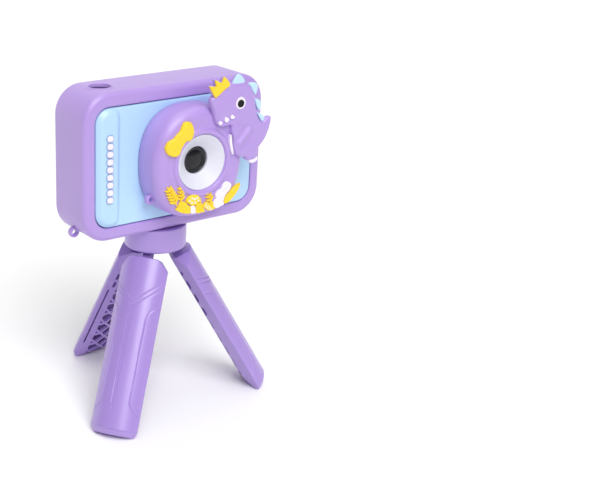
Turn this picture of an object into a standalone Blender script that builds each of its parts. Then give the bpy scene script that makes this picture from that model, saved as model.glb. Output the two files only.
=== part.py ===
"""Kids digital camera in a silicone sleeve, standing on a folding three-leg mini tripod.

The camera's own frame has its origin in the middle of the sleeve, +X to the right as seen from
the front, +Y to the back and +Z up.  Lengths below are millimetres; MM turns them into metres.
"""

import math

import bmesh
import bpy
from mathutils import Vector

MM = 0.001
GAP = 0.3                      # clearance between neighbouring pieces

# Sleeve and housing
SLEEVE_W, SLEEVE_D, SLEEVE_H = 100.0, 27.0, 69.0
SLEEVE_R = 13.2                # corner radius seen from the front
FRONT_FILLET, BACK_FILLET = 4.5, 4.0
FRONT_OPEN_W, FRONT_OPEN_H = 88.2, 56.2
BACK_OPEN_W, BACK_OPEN_H = 88.0, 57.8
OPEN_R = 7.5                   # corner radius of both openings
SLEEVE_WALL = 2.2
SHOULDER_Y = 11.5              # the sleeve's lips start here, front and back
WALL = 1.6                     # housing wall
FACE_Y = -13.4                 # front face of the blue cover
PILLAR_W, PILLAR_RISE = 12.6, 1.6

# Lens group
LENS_X, LENS_Z = 3.4, 0.8
HOOD_X, HOOD_Z = 3.3, 0.3
HOOD_HALF_W, HOOD_HALF_H = 24.9, 26.0
HOOD_POWER = 2.4               # superellipse exponent of the hood's outline
HOOD_BASE_Y, HOOD_FRONT_Y = -13.7, -28.5
HOOD_FILLET = 4.8
HOOD_WALL = 2.2
DISH_R, GLASS_R = 12.9, 5.95
GLASS_Y = -23.0

# Decoration on the hood
RELIEF_Y = HOOD_FRONT_Y - GAP  # back of everything that lies on the hood's face
RELIEF_T = 0.7
DINO_T = 2.1                   # thickness of the figure, up to its front face
CREST_T = 1.6                  # thickness of the spikes on its back
BELLY_T = 1.6

# Back of the camera
PANEL_Y, PANEL_T = 11.5, 1.2
SCREEN_W, SCREEN_H = 48.96, 36.72
BUTTON_FACE_Y = 13.7
MENU_X, MENU_Z, MENU_R = -34.2, 14.8, 4.25
PAD_X, PAD_Z, PAD_STEP = -36.4, -6.4, 8.3
SELFIE_X, SELFIE_Z, SELFIE_R = -0.6, 25.8, 1.6
WELL_X, WELL_Z, WELL_W, WELL_H = 37.3, 21.4, 9.4, 11.7
SHUTTER_X, SHUTTER_Y, SHUTTER_R = -34.0, -1.0, 4.3
SHUTTER_TOP = 32.7             # it lies below the sleeve, so that it isn't pressed by chance
SHUTTER_HOLE_R = 5.5           # opening in the sleeve

# Tripod
TRIPOD_X = -1.9                # tripod axis, from the middle of the sleeve
HEAD_R, HEAD_TOP, HEAD_BOTTOM = 14.9, -34.8, -46.4
SKIRT_WALL = 2.0
PIVOT_R, PIVOT_Z = 6.5, -44.05
LEG_R, LEG_INNER = 14.2, 2.7   # outer radius and inner face, legs folded together
LEG_TOP, LEG_BOTTOM = -8.0, -92.3  # from the pivot, along the folded leg
LEG_HALF_ANGLE = math.radians(58.3)
SPLAY = math.radians(29.8)
LEG_AZIMUTH = {"front": -144.6, "right": -24.6, "rear": 95.4}
GROUND = -123.9                # standing surface, from the middle of the sleeve
LUG_R, LUG_T = 2.3, 4.0
LATTICE_W, LATTICE_H = 8.8, 8.4  # spacing of the crossing ribs
LATTICE_HALF_W = 6.6           # the openings end here, on both sides
LATTICE_TOP, LATTICE_BOTTOM = -17.0, -82.0
RIB = 1.2
PIN_R, SCREW_R = 1.0, 3.1

CORNER_STEPS = 5
ROUND = 36                     # sides of the large round pieces


# ---------------------------------------------------------------- scene helpers

def clear_scene():
    for obj in list(bpy.data.objects):
        bpy.data.objects.remove(obj)


def empty(name, location, parent=None, rotation=(0.0, 0.0, 0.0)):
    obj = bpy.data.objects.new(name, None)
    bpy.context.scene.collection.objects.link(obj)
    obj.location = Vector(location) * MM
    obj.rotation_euler = rotation
    obj.parent = parent
    return obj


def material(name, rgb, roughness=0.5, metallic=0.0):
    found = bpy.data.materials.get(name)
    if found:
        return found
    made = bpy.data.materials.new(name)
    made.use_nodes = True
    shader = made.node_tree.nodes["Principled BSDF"]
    shader.inputs["Base Color"].default_value = (*rgb, 1.0)
    shader.inputs["Roughness"].default_value = roughness
    shader.inputs["Metallic"].default_value = metallic
    return made


def lilac():
    return material("lilac_silicone", (0.47, 0.32, 0.74), 0.55)


def tripod_lilac():
    return material("lilac_plastic", (0.42, 0.28, 0.72), 0.4)


def blue():
    return material("blue_plastic", (0.46, 0.72, 0.95), 0.35)


def yellow():
    return material("yellow_silicone", (0.97, 0.62, 0.05), 0.5)


def white():
    return material("white_plastic", (0.82, 0.80, 0.86), 0.4)


def black():
    return material("black_gloss", (0.015, 0.015, 0.018), 0.12)


def dark_plastic():
    return material("dark_plastic", (0.05, 0.05, 0.06), 0.5)


def steel():
    return material("steel", (0.55, 0.55, 0.57), 0.3, 1.0)


def brass():
    return material("brass", (0.72, 0.52, 0.24), 0.3, 1.0)


def circuit_green():
    return material("circuit_board", (0.03, 0.22, 0.09), 0.5)


def place(name, bm, parent, paint, location=(0.0, 0.0, 0.0)):
    """Turns a bmesh in millimetres into a smooth-shaded object."""
    bmesh.ops.recalc_face_normals(bm, faces=bm.faces)
    bmesh.ops.scale(bm, vec=(MM, MM, MM), verts=bm.verts)
    mesh = bpy.data.meshes.new(name)
    bm.to_mesh(mesh)
    bm.free()
    mesh.shade_smooth()
    mesh.set_sharp_from_angle(angle=math.radians(35.0))
    obj = bpy.data.objects.new(name, mesh)
    bpy.context.scene.collection.objects.link(obj)
    obj.location = Vector(location) * MM
    obj.parent = parent
    if paint:
        mesh.materials.append(paint)
    return obj


def tool(bm, parent, location=(0.0, 0.0, 0.0)):
    """A hidden shape for a Boolean."""
    obj = place("tool", bm, parent, None, location)
    obj.hide_render = True
    obj.display_type = "WIRE"
    return obj


def combine(target, other, operation="DIFFERENCE"):
    modifier = target.modifiers.new(operation.lower(), "BOOLEAN")
    modifier.operation = operation
    modifier.object = other
    modifier.solver = "EXACT"


# ---------------------------------------------------------------- shape helpers

def loft(loops, closed=False):
    """Skins a list of loops; open ends are capped, a closed list joins last to first."""
    bm = bmesh.new()
    rings = [[bm.verts.new(point) for point in loop] for loop in loops]
    following = rings[1:] + (rings[:1] if closed else [])
    for ring, after in zip(rings, following):
        for i in range(len(ring)):
            j = (i + 1) % len(ring)
            bm.faces.new((ring[i], ring[j], after[j], after[i]))
    if not closed:
        bm.faces.new(rings[0])
        bm.faces.new(rings[-1])
    return bm


def rounded_rectangle(width, height, radius, steps=CORNER_STEPS):
    points = []
    for quarter, (sx, sz) in enumerate(((1, 1), (-1, 1), (-1, -1), (1, -1))):
        for step in range(steps + 1):
            angle = math.radians(90.0 * (quarter + step / steps))
            points.append((sx * (width / 2 - radius) + radius * math.cos(angle),
                           sz * (height / 2 - radius) + radius * math.sin(angle)))
    return points


def at_y(points, y, centre=(0.0, 0.0)):
    return [(x + centre[0], y, z + centre[1]) for x, z in points]


def frame_loop(width, height, radius, y, steps=CORNER_STEPS):
    return at_y(rounded_rectangle(width, height, radius, steps), y)


def superellipse(half_w, half_h, power, count):
    points = []
    for i in range(count):
        angle = 2 * math.pi * i / count
        c, s = math.cos(angle), math.sin(angle)
        points.append((half_w * math.copysign(abs(c) ** (2 / power), c),
                       half_h * math.copysign(abs(s) ** (2 / power), s)))
    return points


def circle(radius, count):
    return superellipse(radius, radius, 2.0, count)


def smooth_outline(points, per_span=2):
    """Closed Catmull-Rom curve through the points."""
    count = len(points)
    curve = []
    for i in range(count):
        p0, p1, p2, p3 = (Vector(points[(i + k) % count]) for k in (-1, 0, 1, 2))
        for step in range(per_span):
            t = step / per_span
            curve.append(tuple(0.5 * ((2 * p1) + (p2 - p0) * t
                                      + (2 * p0 - 5 * p1 + 4 * p2 - p3) * t * t
                                      + (3 * p1 - p0 - 3 * p2 + p3) * t ** 3)))
    return curve


def plate(outline, y_front, thickness):
    """Flat piece whose front face is at y_front."""
    return loft([at_y(outline, y_front), at_y(outline, y_front + thickness)])


def block(low, high):
    (x0, y0, z0), (x1, y1, z1) = low, high
    return loft([[(x0, y0, z), (x1, y0, z), (x1, y1, z), (x0, y1, z)] for z in (z0, z1)])


def upright(profile, count, closed=False):
    """Turns (radius, z) points about the Z axis."""
    turns = [2 * math.pi * i / count for i in range(count)]
    return loft([[(r * math.cos(a), r * math.sin(a), z) for a in turns] for r, z in profile], closed)


def facing(profile, count, centre, closed=False):
    """Turns (radius, y) points about an axis along Y through centre (x, z)."""
    return loft([at_y(circle(r, count), y, centre) for r, y in profile], closed)


# ---------------------------------------------------------------- sleeve and housing

def fillet_loops(width, height, radius, fillet, y_face, outward, steps=4):
    """Loops from a face's edge round a quarter fillet to the full outline."""
    loops = []
    for step in range(steps + 1):
        angle = math.radians(90.0 * step / steps)
        inset = fillet * (1 - math.sin(angle))
        y = y_face + outward * fillet * (1 - math.cos(angle))
        loops.append(frame_loop(width - 2 * inset, height - 2 * inset, radius - inset, y))
    return loops


def make_sleeve(camera):
    half_d = SLEEVE_D / 2
    cavity = (SLEEVE_W - 2 * SLEEVE_WALL, SLEEVE_H - 2 * SLEEVE_WALL, SLEEVE_R - SLEEVE_WALL)
    loops = fillet_loops(SLEEVE_W, SLEEVE_H, SLEEVE_R, FRONT_FILLET, -half_d, 1)
    loops += fillet_loops(SLEEVE_W, SLEEVE_H, SLEEVE_R, BACK_FILLET, half_d, -1)[::-1]
    loops.append(frame_loop(BACK_OPEN_W, BACK_OPEN_H, OPEN_R, half_d))
    loops.append(frame_loop(BACK_OPEN_W, BACK_OPEN_H, OPEN_R, SHOULDER_Y))
    loops.append(frame_loop(*cavity, SHOULDER_Y))
    loops.append(frame_loop(*cavity, -SHOULDER_Y))
    loops.append(frame_loop(FRONT_OPEN_W, FRONT_OPEN_H, OPEN_R, -SHOULDER_Y))
    loops.append(frame_loop(FRONT_OPEN_W, FRONT_OPEN_H, OPEN_R, -half_d))
    sleeve = place("silicone_sleeve", loft(loops, closed=True), camera, lilac())

    corner = SLEEVE_R + 1.7     # the strap ring's middle, out from the corner's centre
    ring_x = -(SLEEVE_W / 2 - SLEEVE_R) - corner * math.sin(math.radians(45.8))
    ring_z = -(SLEEVE_H / 2 - SLEEVE_R) - corner * math.cos(math.radians(45.8))
    ring = [(2.6, -1.2), (2.2, -1.6), (1.1, -1.6), (1.1, 1.6), (2.2, 1.6), (2.6, 1.2)]
    combine(sleeve, tool(facing(ring, 14, (ring_x, ring_z), closed=True), camera), "UNION")

    top = SLEEVE_H / 2
    lip = [(SHUTTER_HOLE_R + 2.0, top - 1.0), (SHUTTER_HOLE_R + 1.8, top + 0.2),
           (SHUTTER_HOLE_R + 1.0, top + 0.6)]
    combine(sleeve, tool(upright(lip, 24), camera, (SHUTTER_X, SHUTTER_Y, 0.0)), "UNION")
    shutter_hole = upright([(SHUTTER_HOLE_R, 30.0), (SHUTTER_HOLE_R, 36.0)], 24)
    combine(sleeve, tool(shutter_hole, camera, (SHUTTER_X, SHUTTER_Y, 0.0)))
    screw_hole = upright([(5.5, -36.0), (5.5, -30.0)], 20)
    combine(sleeve, tool(screw_hole, camera, (TRIPOD_X, 0.0, 0.0)))
    notch = block((41.0, -1.5, -32.5), (46.5, 1.5, -27.0))
    combine(sleeve, tool(notch, camera))


HOUSING = (SLEEVE_W - 2 * (SLEEVE_WALL + GAP), SLEEVE_H - 2 * (SLEEVE_WALL + GAP),
           SLEEVE_R - SLEEVE_WALL - GAP)
HOUSING_IN = (HOUSING[0] - 2 * WALL, HOUSING[1] - 2 * WALL, HOUSING[2] - WALL)
HOUSING_Y = SHOULDER_Y - GAP
POSTS = [(sx * 40.5, sz * 26.2) for sx in (-1, 1) for sz in (-1, 1)]


def pillar_outline(boss, inset):
    """Left end of the cover's face: its outer corners follow the cover, the inner ones are tighter."""
    width, height, outer_r = boss
    left, right, top = -width / 2 + inset, -width / 2 + PILLAR_W - inset, height / 2 - inset
    outer_r -= inset
    inner_r = 4.6 - inset
    corners = ((right - inner_r, top - inner_r, inner_r, 0), (left + outer_r, top - outer_r, outer_r, 1),
               (left + outer_r, outer_r - top, outer_r, 2), (right - inner_r, inner_r - top, inner_r, 3))
    points = []
    for x, z, radius, quarter in corners:
        for step in range(CORNER_STEPS + 1):
            angle = math.radians(90.0 * (quarter + step / CORNER_STEPS))
            points.append((x + radius * math.cos(angle), z + radius * math.sin(angle)))
    return points


def make_front_cover(camera):
    boss = (FRONT_OPEN_W - 2 * GAP, FRONT_OPEN_H - 2 * GAP, OPEN_R - GAP)
    loops = [frame_loop(boss[0] - 1.2, boss[1] - 1.2, boss[2] - 0.6, FACE_Y),
             frame_loop(boss[0] - 0.4, boss[1] - 0.4, boss[2] - 0.2, FACE_Y + 0.2),
             frame_loop(*boss, FACE_Y + 0.6),
             frame_loop(*boss, -HOUSING_Y),
             frame_loop(*HOUSING, -HOUSING_Y),
             frame_loop(*HOUSING, -GAP / 2),
             frame_loop(*HOUSING_IN, -GAP / 2),
             frame_loop(*HOUSING_IN, -HOUSING_Y + WALL),
             frame_loop(boss[0] - 2 * WALL, boss[1] - 2 * WALL, boss[2] - WALL, -HOUSING_Y + WALL),
             frame_loop(boss[0] - 2 * WALL, boss[1] - 2 * WALL, boss[2] - WALL, FACE_Y + WALL)]
    cover = place("front_cover", loft(loops), camera, blue())

    pillar_loops = []
    for inset, y in ((0.1, FACE_Y + 1.0), (0.1, FACE_Y - 0.6), (0.6, FACE_Y - 1.3),
                     (1.6, FACE_Y - PILLAR_RISE)):
        pillar_loops.append(at_y(pillar_outline(boss, inset), y))
    combine(cover, tool(loft(pillar_loops), camera), "UNION")

    for x, z in POSTS:
        post = facing([(2.6, -HOUSING_Y + WALL - 0.5), (2.6, -0.8)], 10, (x, z))
        combine(cover, tool(post, camera), "UNION")
        bore = facing([(1.1, -7.0), (1.1, 2.0)], 8, (x, z))
        combine(cover, tool(bore, camera))
    lens_hole = facing([(8.0, -20.0), (8.0, -5.0)], 24, (LENS_X, LENS_Z))
    combine(cover, tool(lens_hole, camera))
    cut_housing_edges(cover, camera)


def cut_housing_edges(cover, camera):
    """Openings that both covers share: shutter button on top, tripod nut below."""
    shutter = upright([(SHUTTER_R + GAP, 28.0), (SHUTTER_R + GAP, 34.0)], 20)
    combine(cover, tool(shutter, camera, (SHUTTER_X, SHUTTER_Y, 0.0)))
    nut = upright([(5.1, -34.0), (5.1, -28.0)], 20)
    combine(cover, tool(nut, camera, (TRIPOD_X, 0.0, 0.0)))


def make_rear_cover(camera):
    loops = [frame_loop(*HOUSING, HOUSING_Y),
             frame_loop(*HOUSING, GAP / 2),
             frame_loop(*HOUSING_IN, GAP / 2),
             frame_loop(*HOUSING_IN, HOUSING_Y - WALL)]
    cover = place("rear_cover", loft(loops), camera, white())
    screen_gap = block((-27.0, 8.0, -21.5), (27.0, 13.0, 21.5))
    combine(cover, tool(screen_gap, camera))
    for outline, centre in button_outlines().values():
        wider = [(x * 1.12, z * 1.12) for x, z in outline]
        hole = loft([at_y(wider, y, centre) for y in (8.0, 13.0)])
        combine(cover, tool(hole, camera))
    well = loft([at_y(rounded_rectangle(WELL_W + 1.9, WELL_H + 1.9, 3.3, 4), y, (WELL_X, WELL_Z))
                 for y in (8.0, 13.0)])
    combine(cover, tool(well, camera))
    selfie = facing([(SELFIE_R, 8.0), (SELFIE_R, 13.0)], 14, (SELFIE_X, SELFIE_Z))
    combine(cover, tool(selfie, camera))
    for x, z in POSTS:
        if (x, z) == (40.5, 26.2):
            continue            # the viewfinder well takes this corner
        seat = facing([(1.1, 8.0), (1.1, 10.4), (2.2, 10.4), (2.2, 13.0)], 12, (x, z))
        combine(cover, tool(seat, camera))
    for low, high in (((8.2, 3.4, -33.0), (17.8, 6.6, -29.0)),
                      ((21.0, 4.4, -33.0), (32.0, 6.6, -29.0))):
        combine(cover, tool(block(low, high), camera))
    cut_housing_edges(cover, camera)


# ---------------------------------------------------------------- lens group

def hood_loop(inset, y, count=ROUND):
    outline = superellipse(HOOD_HALF_W - inset, HOOD_HALF_H - inset, HOOD_POWER, count)
    return at_y(outline, y, (HOOD_X, HOOD_Z))


def bore_loop(radius, y, count=ROUND):
    return at_y(circle(radius, count), y, (LENS_X, LENS_Z))


def make_hood(camera):
    loops = [hood_loop(0.0, HOOD_BASE_Y)]
    for step in range(5):
        angle = math.radians(90.0 * step / 4)
        inset = 0.3 + HOOD_FILLET * (1 - math.cos(angle))
        y = HOOD_FRONT_Y + HOOD_FILLET * (1 - math.sin(angle))
        loops.append(hood_loop(inset, y))
    hole = DISH_R + 0.5
    loops += [bore_loop(hole + 1.6, HOOD_FRONT_Y),
              bore_loop(hole + 0.5, HOOD_FRONT_Y + 0.15),
              bore_loop(hole, HOOD_FRONT_Y + 0.6),
              bore_loop(hole, HOOD_FRONT_Y + HOOD_WALL),
              hood_loop(HOOD_FILLET + HOOD_WALL * 0.4, HOOD_FRONT_Y + HOOD_WALL),
              hood_loop(HOOD_WALL, HOOD_FRONT_Y + HOOD_FILLET + HOOD_WALL * 0.4),
              hood_loop(HOOD_WALL, HOOD_BASE_Y)]
    hood = place("lens_hood", loft(loops, closed=True), camera, lilac())
    tab = [(2.3, -20.6), (2.0, -21.0), (0.9, -21.0), (0.9, -17.8), (2.3, -17.8)]
    combine(hood, tool(facing(tab, 12, (-18.8, -15.4), closed=True), camera), "UNION")


def make_lens_housing(camera):
    """Squircle ring on the front cover that the soft hood is pulled over."""
    outer = HOOD_WALL + GAP
    top = HOOD_FRONT_Y + HOOD_WALL + GAP
    loops = [hood_loop(outer, HOOD_BASE_Y), hood_loop(outer, HOOD_FRONT_Y + 8.0),
             hood_loop(HOOD_FILLET + 1.6, top), bore_loop(DISH_R + 0.5, top),
             bore_loop(DISH_R + 0.5, top + 1.6), hood_loop(HOOD_FILLET + 2.6, top + 1.6),
             hood_loop(outer + WALL, HOOD_FRONT_Y + 9.0), hood_loop(outer + WALL, HOOD_BASE_Y)]
    place("lens_housing", loft(loops, closed=True), camera, white())


def make_lens(camera):
    centre = (LENS_X, LENS_Z)
    wall = DISH_R + 0.1
    funnel = [(wall, HOOD_BASE_Y), (wall, -28.2), (DISH_R - 0.3, -28.6), (DISH_R - 0.9, -28.3),
              (GLASS_R + 0.35, GLASS_Y - 0.5), (GLASS_R + 0.35, -20.6), (7.9, -20.6),
              (7.9, -22.4), (wall - 1.3, -26.2), (wall - 1.3, HOOD_BASE_Y)]
    place("lens_dish", facing(funnel, ROUND, centre, closed=True), camera, white())
    glass = [(4.2, GLASS_Y - 0.25), (GLASS_R - 0.5, GLASS_Y), (GLASS_R, GLASS_Y + 0.4),
             (GLASS_R, -21.0)]
    place("lens_glass", facing(glass, 28, centre), camera, black())
    barrel = [(4.0, -20.3), (7.5, -20.3), (7.5, -9.4), (4.0, -9.4)]
    place("lens_barrel", facing(barrel, 24, centre, closed=True), camera, dark_plastic())
    x, z = centre
    sensor = block((x - 7.5, -9.1, z - 7.5), (x + 7.5, -7.9, z + 7.5))
    place("image_sensor", sensor, camera, circuit_green())


# ---------------------------------------------------------------- back of the camera

def teardrop(half_w, half_h, towards, pull, count=16):
    """Oval whose rim is drawn out towards one direction, as the pad's caps are."""
    points = []
    for i in range(count):
        angle = 2 * math.pi * i / count
        reach = 1 + pull * max(0.0, math.cos(angle - towards)) ** 6
        points.append((half_w * reach * math.cos(angle), half_h * reach * math.sin(angle)))
    return points


def button_outlines():
    down, up, left, right = math.radians(270), math.radians(90), math.pi, 0.0
    step = PAD_STEP
    return {
        "menu_button": (circle(MENU_R, 16), (MENU_X, MENU_Z)),
        "pad_up": (teardrop(3.7, 3.7, down, 0.36), (PAD_X, PAD_Z + step + 0.3)),
        "pad_down": (teardrop(3.7, 3.7, up, 0.36), (PAD_X, PAD_Z - step - 0.3)),
        "pad_left": (teardrop(3.0, 4.0, left, 0.12), (PAD_X + 4.2, PAD_Z + 0.2)),
        "pad_right": (teardrop(3.0, 4.0, right, 0.12), (PAD_X - 4.2, PAD_Z - 0.2)),
    }


def make_buttons(camera):
    for name, (outline, centre) in button_outlines().items():
        loops = []
        for scale, y in ((0.5, 6.1), (0.5, 9.2), (1.0, 9.2), (1.0, BUTTON_FACE_Y - 0.5),
                         (0.93, BUTTON_FACE_Y - 0.15), (0.8, BUTTON_FACE_Y)):
            loops.append([(x * scale, y, z * scale) for x, z in outline])
        place(name, loft(loops), camera, white(), (centre[0], 0.0, centre[1]))
    stem, shoulder = SHUTTER_R - 1.0, 30.6
    profile = [(stem, 28.0), (stem, shoulder), (SHUTTER_R, shoulder), (SHUTTER_R, SHUTTER_TOP - 0.5),
               (SHUTTER_R - 0.5, SHUTTER_TOP)]
    button = upright([(r, z - SHUTTER_TOP) for r, z in profile], 20)
    place("shutter_button", button, camera, white(), (SHUTTER_X, SHUTTER_Y, SHUTTER_TOP))


def make_rear_window(camera):
    outline = (BACK_OPEN_W - 2 * GAP, BACK_OPEN_H - 2 * GAP, OPEN_R - GAP)
    panel = loft([frame_loop(*outline, PANEL_Y), frame_loop(*outline, PANEL_Y + PANEL_T)])
    window = place("rear_window", panel, camera, black())
    for shape, centre in button_outlines().values():
        wider = [(x * 1.08, z * 1.08) for x, z in shape]
        hole = loft([at_y(wider, y, centre) for y in (PANEL_Y - 1, PANEL_Y + 3)])
        combine(window, tool(hole, camera))
    well = loft([at_y(rounded_rectangle(WELL_W, WELL_H, 2.5, 4), y, (WELL_X, WELL_Z))
                 for y in (PANEL_Y - 1, PANEL_Y + 3)])
    combine(window, tool(well, camera))
    lens = facing([(SELFIE_R + 0.1, PANEL_Y - 1), (SELFIE_R + 0.1, PANEL_Y + 3)], 16,
                  (SELFIE_X, SELFIE_Z))
    combine(window, tool(lens, camera))


def make_back_details(camera):
    lens = facing([(SELFIE_R - 0.2, PANEL_Y + 0.1), (SELFIE_R - 0.2, PANEL_Y + PANEL_T - 0.1)],
                  16, (SELFIE_X, SELFIE_Z))
    place("selfie_lens", lens, camera, black())
    module = block((SELFIE_X - 3.2, 6.0, SELFIE_Z - 3.0), (SELFIE_X + 3.2, 9.3, SELFIE_Z + 3.0))
    place("selfie_camera", module, camera, dark_plastic())
    outer = rounded_rectangle(WELL_W + 1.2, WELL_H + 1.2, 3.0, 4)
    inner = rounded_rectangle(WELL_W - 0.4, WELL_H - 0.4, 2.3, 4)
    centre = (WELL_X, WELL_Z)
    cup = [at_y(outer, 4.4, centre), at_y(outer, PANEL_Y - GAP, centre),
           at_y(inner, PANEL_Y - GAP, centre), at_y(inner, 5.6, centre)]
    place("viewfinder_cup", loft(cup), camera, lilac())
    screen = block((-26.6, 8.9, -21.1), (26.6, PANEL_Y - GAP, 21.1))
    place("screen_module", screen, camera, dark_plastic())


def make_inside(camera):
    board = place("main_board", block((-43.0, 1.8, -24.5), (31.0, 3.4, 22.0)), camera,
                  circuit_green())
    for outline, (x, z) in button_outlines().values():
        switch = block((x - 2.2, 3.0, z - 2.2), (x + 2.2, 5.0, z + 2.2))
        combine(board, tool(switch, camera), "UNION")
    nut_room = block((TRIPOD_X - 5.5, 0.0, -26.0), (TRIPOD_X + 5.5, 8.0, -20.0))
    combine(board, tool(nut_room, camera))
    place("battery", loft([at_y(rounded_rectangle(29.0, 38.0, 2.0, 3), y, (-26.0, -3.0))
                           for y in (-9.3, -3.3)]), camera, material("battery", (0.35, 0.4, 0.46), 0.4))
    place("speaker", facing([(9.0, -9.3), (9.0, -7.0), (6.0, -5.0), (4.0, -5.0)], 18, (31.0, -14.0)),
          camera, dark_plastic())
    place("microphone", facing([(3.0, -9.3), (3.0, -7.1)], 14, (31.0, 12.0)), camera, steel())
    usb = place("usb_port", block((8.5, 3.7, -32.0), (17.5, 6.3, -25.0)), camera, steel())
    combine(usb, tool(block((9.0, 4.2, -33.0), (17.0, 5.8, -26.0)), camera))
    slot = place("card_slot", block((20.0, 3.7, -28.5), (33.0, 7.3, -14.0)), camera, steel())
    combine(slot, tool(block((21.1, 4.6, -30.0), (31.9, 6.4, -15.5)), camera))
    place("memory_card", block((21.5, 5.0, -31.8), (31.5, 6.0, -16.5)), camera, dark_plastic())
    nut = [(4.8, -32.0), (4.8, -23.0), (3.45, -23.0), (3.45, -32.0)]
    place("tripod_nut", upright(nut, 18, closed=True), camera, brass(), (TRIPOD_X, 0.0, 0.0))
    number = 0
    for x, z in POSTS:
        if (x, z) == (40.5, 26.2):
            continue
        number += 1
        screw = [(0.8, -6.0), (0.8, 10.7), (1.9, 10.7), (1.9, 11.1)]
        place(f"cover_screw_{number}", facing(screw, 10, (x, z)), camera, steel())


# ---------------------------------------------------------------- decoration

DINO_OUTLINE = [
    (7.2, 31.6), (5.8, 29.6), (6.6, 26.4), (8.0, 22.6), (9.4, 18.9), (11.6, 16.8), (15.0, 16.3),
    (18.2, 16.4), (18.6, 13.8), (19.5, 10.6), (20.2, 6.6), (21.0, 2.9), (23.0, 1.0), (26.2, 0.4),
    (27.4, -0.7), (29.4, -1.1), (32.4, -0.1), (33.8, 1.0), (34.0, 3.2), (37.0, 6.2), (39.6, 10.2),
    (41.0, 14.4), (41.4, 17.4), (40.0, 17.9), (36.6, 16.2), (34.4, 17.4), (32.8, 20.8),
    (31.8, 24.8), (30.6, 29.6), (28.6, 33.2), (25.4, 35.7), (20.8, 36.0), (16.2, 36.0),
    (12.8, 34.2), (9.6, 32.2)]
SPIKES = [
    [(17.8, 36.3), (19.1, 38.2), (20.8, 39.9), (22.6, 39.0), (24.4, 37.1), (24.3, 36.2)],
    [(27.2, 35.1), (29.2, 35.1), (31.5, 34.5), (32.4, 33.0), (32.1, 30.9), (31.4, 29.0)],
    [(32.0, 27.0), (33.5, 26.7), (34.9, 25.0), (34.7, 23.2), (33.4, 21.9)],
    [(33.4, 20.6), (35.1, 19.8), (37.2, 18.0), (36.4, 16.9), (35.0, 17.6)]]
CROWN_OUTLINE = [(4.5, 36.3), (8.0, 35.8), (7.7, 38.8), (11.3, 37.0), (12.7, 39.8), (15.7, 36.5),
                 (15.5, 35.1), (8.4, 30.8)]
BELLY_OUTLINE = [(17.9, 12.4), (17.4, 10.2), (17.5, 8.2), (18.2, 5.4), (19.2, 2.9), (20.2, 2.2),
                 (19.7, 5.0), (19.2, 8.2), (18.6, 11.4)]
BOW_OUTLINE = [(-5.5, 21.1), (-3.2, 19.4), (-2.3, 16.4), (-3.2, 13.0), (-5.4, 12.2), (-7.6, 10.7),
               (-9.2, 8.1), (-11.0, 6.1), (-13.8, 6.2), (-16.6, 8.3), (-17.2, 11.0),
               (-15.2, 13.4), (-12.6, 14.5), (-10.6, 16.4), (-8.8, 19.1)]
LEFT_BED = [(-11.2, -18.6), (-9.6, -18.0), (-8.6, -16.0), (-6.8, -15.8), (-5.0, -16.2),
            (-2.6, -17.0), (-2.2, -22.6), (-5.2, -22.2), (-8.6, -21.0), (-10.4, -19.8)]
RIGHT_BED = [(-2.4, -17.4), (1.4, -16.6), (4.2, -18.6), (6.2, -18.1), (8.0, -18.9), (9.6, -21.0),
             (10.4, -22.3), (7.6, -22.9), (3.6, -23.0), (-2.4, -22.6)]
CAP_OUTLINE = [(-5.4, -16.4), (-4.8, -14.8), (-3.3, -13.6), (-1.2, -13.2), (1.0, -14.0),
               (2.6, -15.8), (3.4, -18.4), (-0.4, -18.7), (-4.4, -18.2)]
STEM_OUTLINE = [(-2.6, -18.9), (-0.3, -19.2), (-0.1, -20.8), (0.3, -23.2), (-2.8, -23.2),
                (-2.6, -20.6)]
CLOUD_OUTLINE = [(11.0, -21.6), (14.4, -21.8), (16.2, -20.2), (16.2, -18.2), (17.2, -16.0),
                 (19.2, -14.2), (19.8, -11.6), (17.6, -10.2), (15.4, -11.4), (14.2, -13.2),
                 (12.0, -14.6), (11.2, -16.6), (10.4, -18.6)]
LEAF_OUTLINE = [(17.0, -20.6), (17.6, -17.6), (20.2, -15.2), (23.0, -13.6), (24.6, -13.0),
                (24.0, -15.0), (21.8, -17.6), (19.4, -19.6)]


def frond(x, z, lean, length, leaflets):
    """Fern outline: a stem with pairs of pointed leaflets, shorter towards the tip."""
    along = Vector((math.sin(lean), math.cos(lean)))
    across = Vector((along.y, -along.x))
    root = Vector((x, z))
    right, left = [], []
    for i in range(leaflets):
        base = root + along * length * (0.12 + 0.8 * i / leaflets)
        reach = length * 0.30 * (1 - 0.6 * i / leaflets)
        tip = base + along * reach * 0.6
        notch = base + along * length * 0.30 / leaflets
        for side, store in ((1, right), (-1, left)):
            store.append(tuple(base + across * side * 0.45))
            store.append(tuple(tip + across * side * reach))
            store.append(tuple(notch + along * 0.45 + across * side * 0.5))
    start = [tuple(root + across * 0.45)]
    end = [tuple(root - across * 0.45)]
    return start + right + [tuple(root + along * length)] + left[::-1] + end


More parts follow.
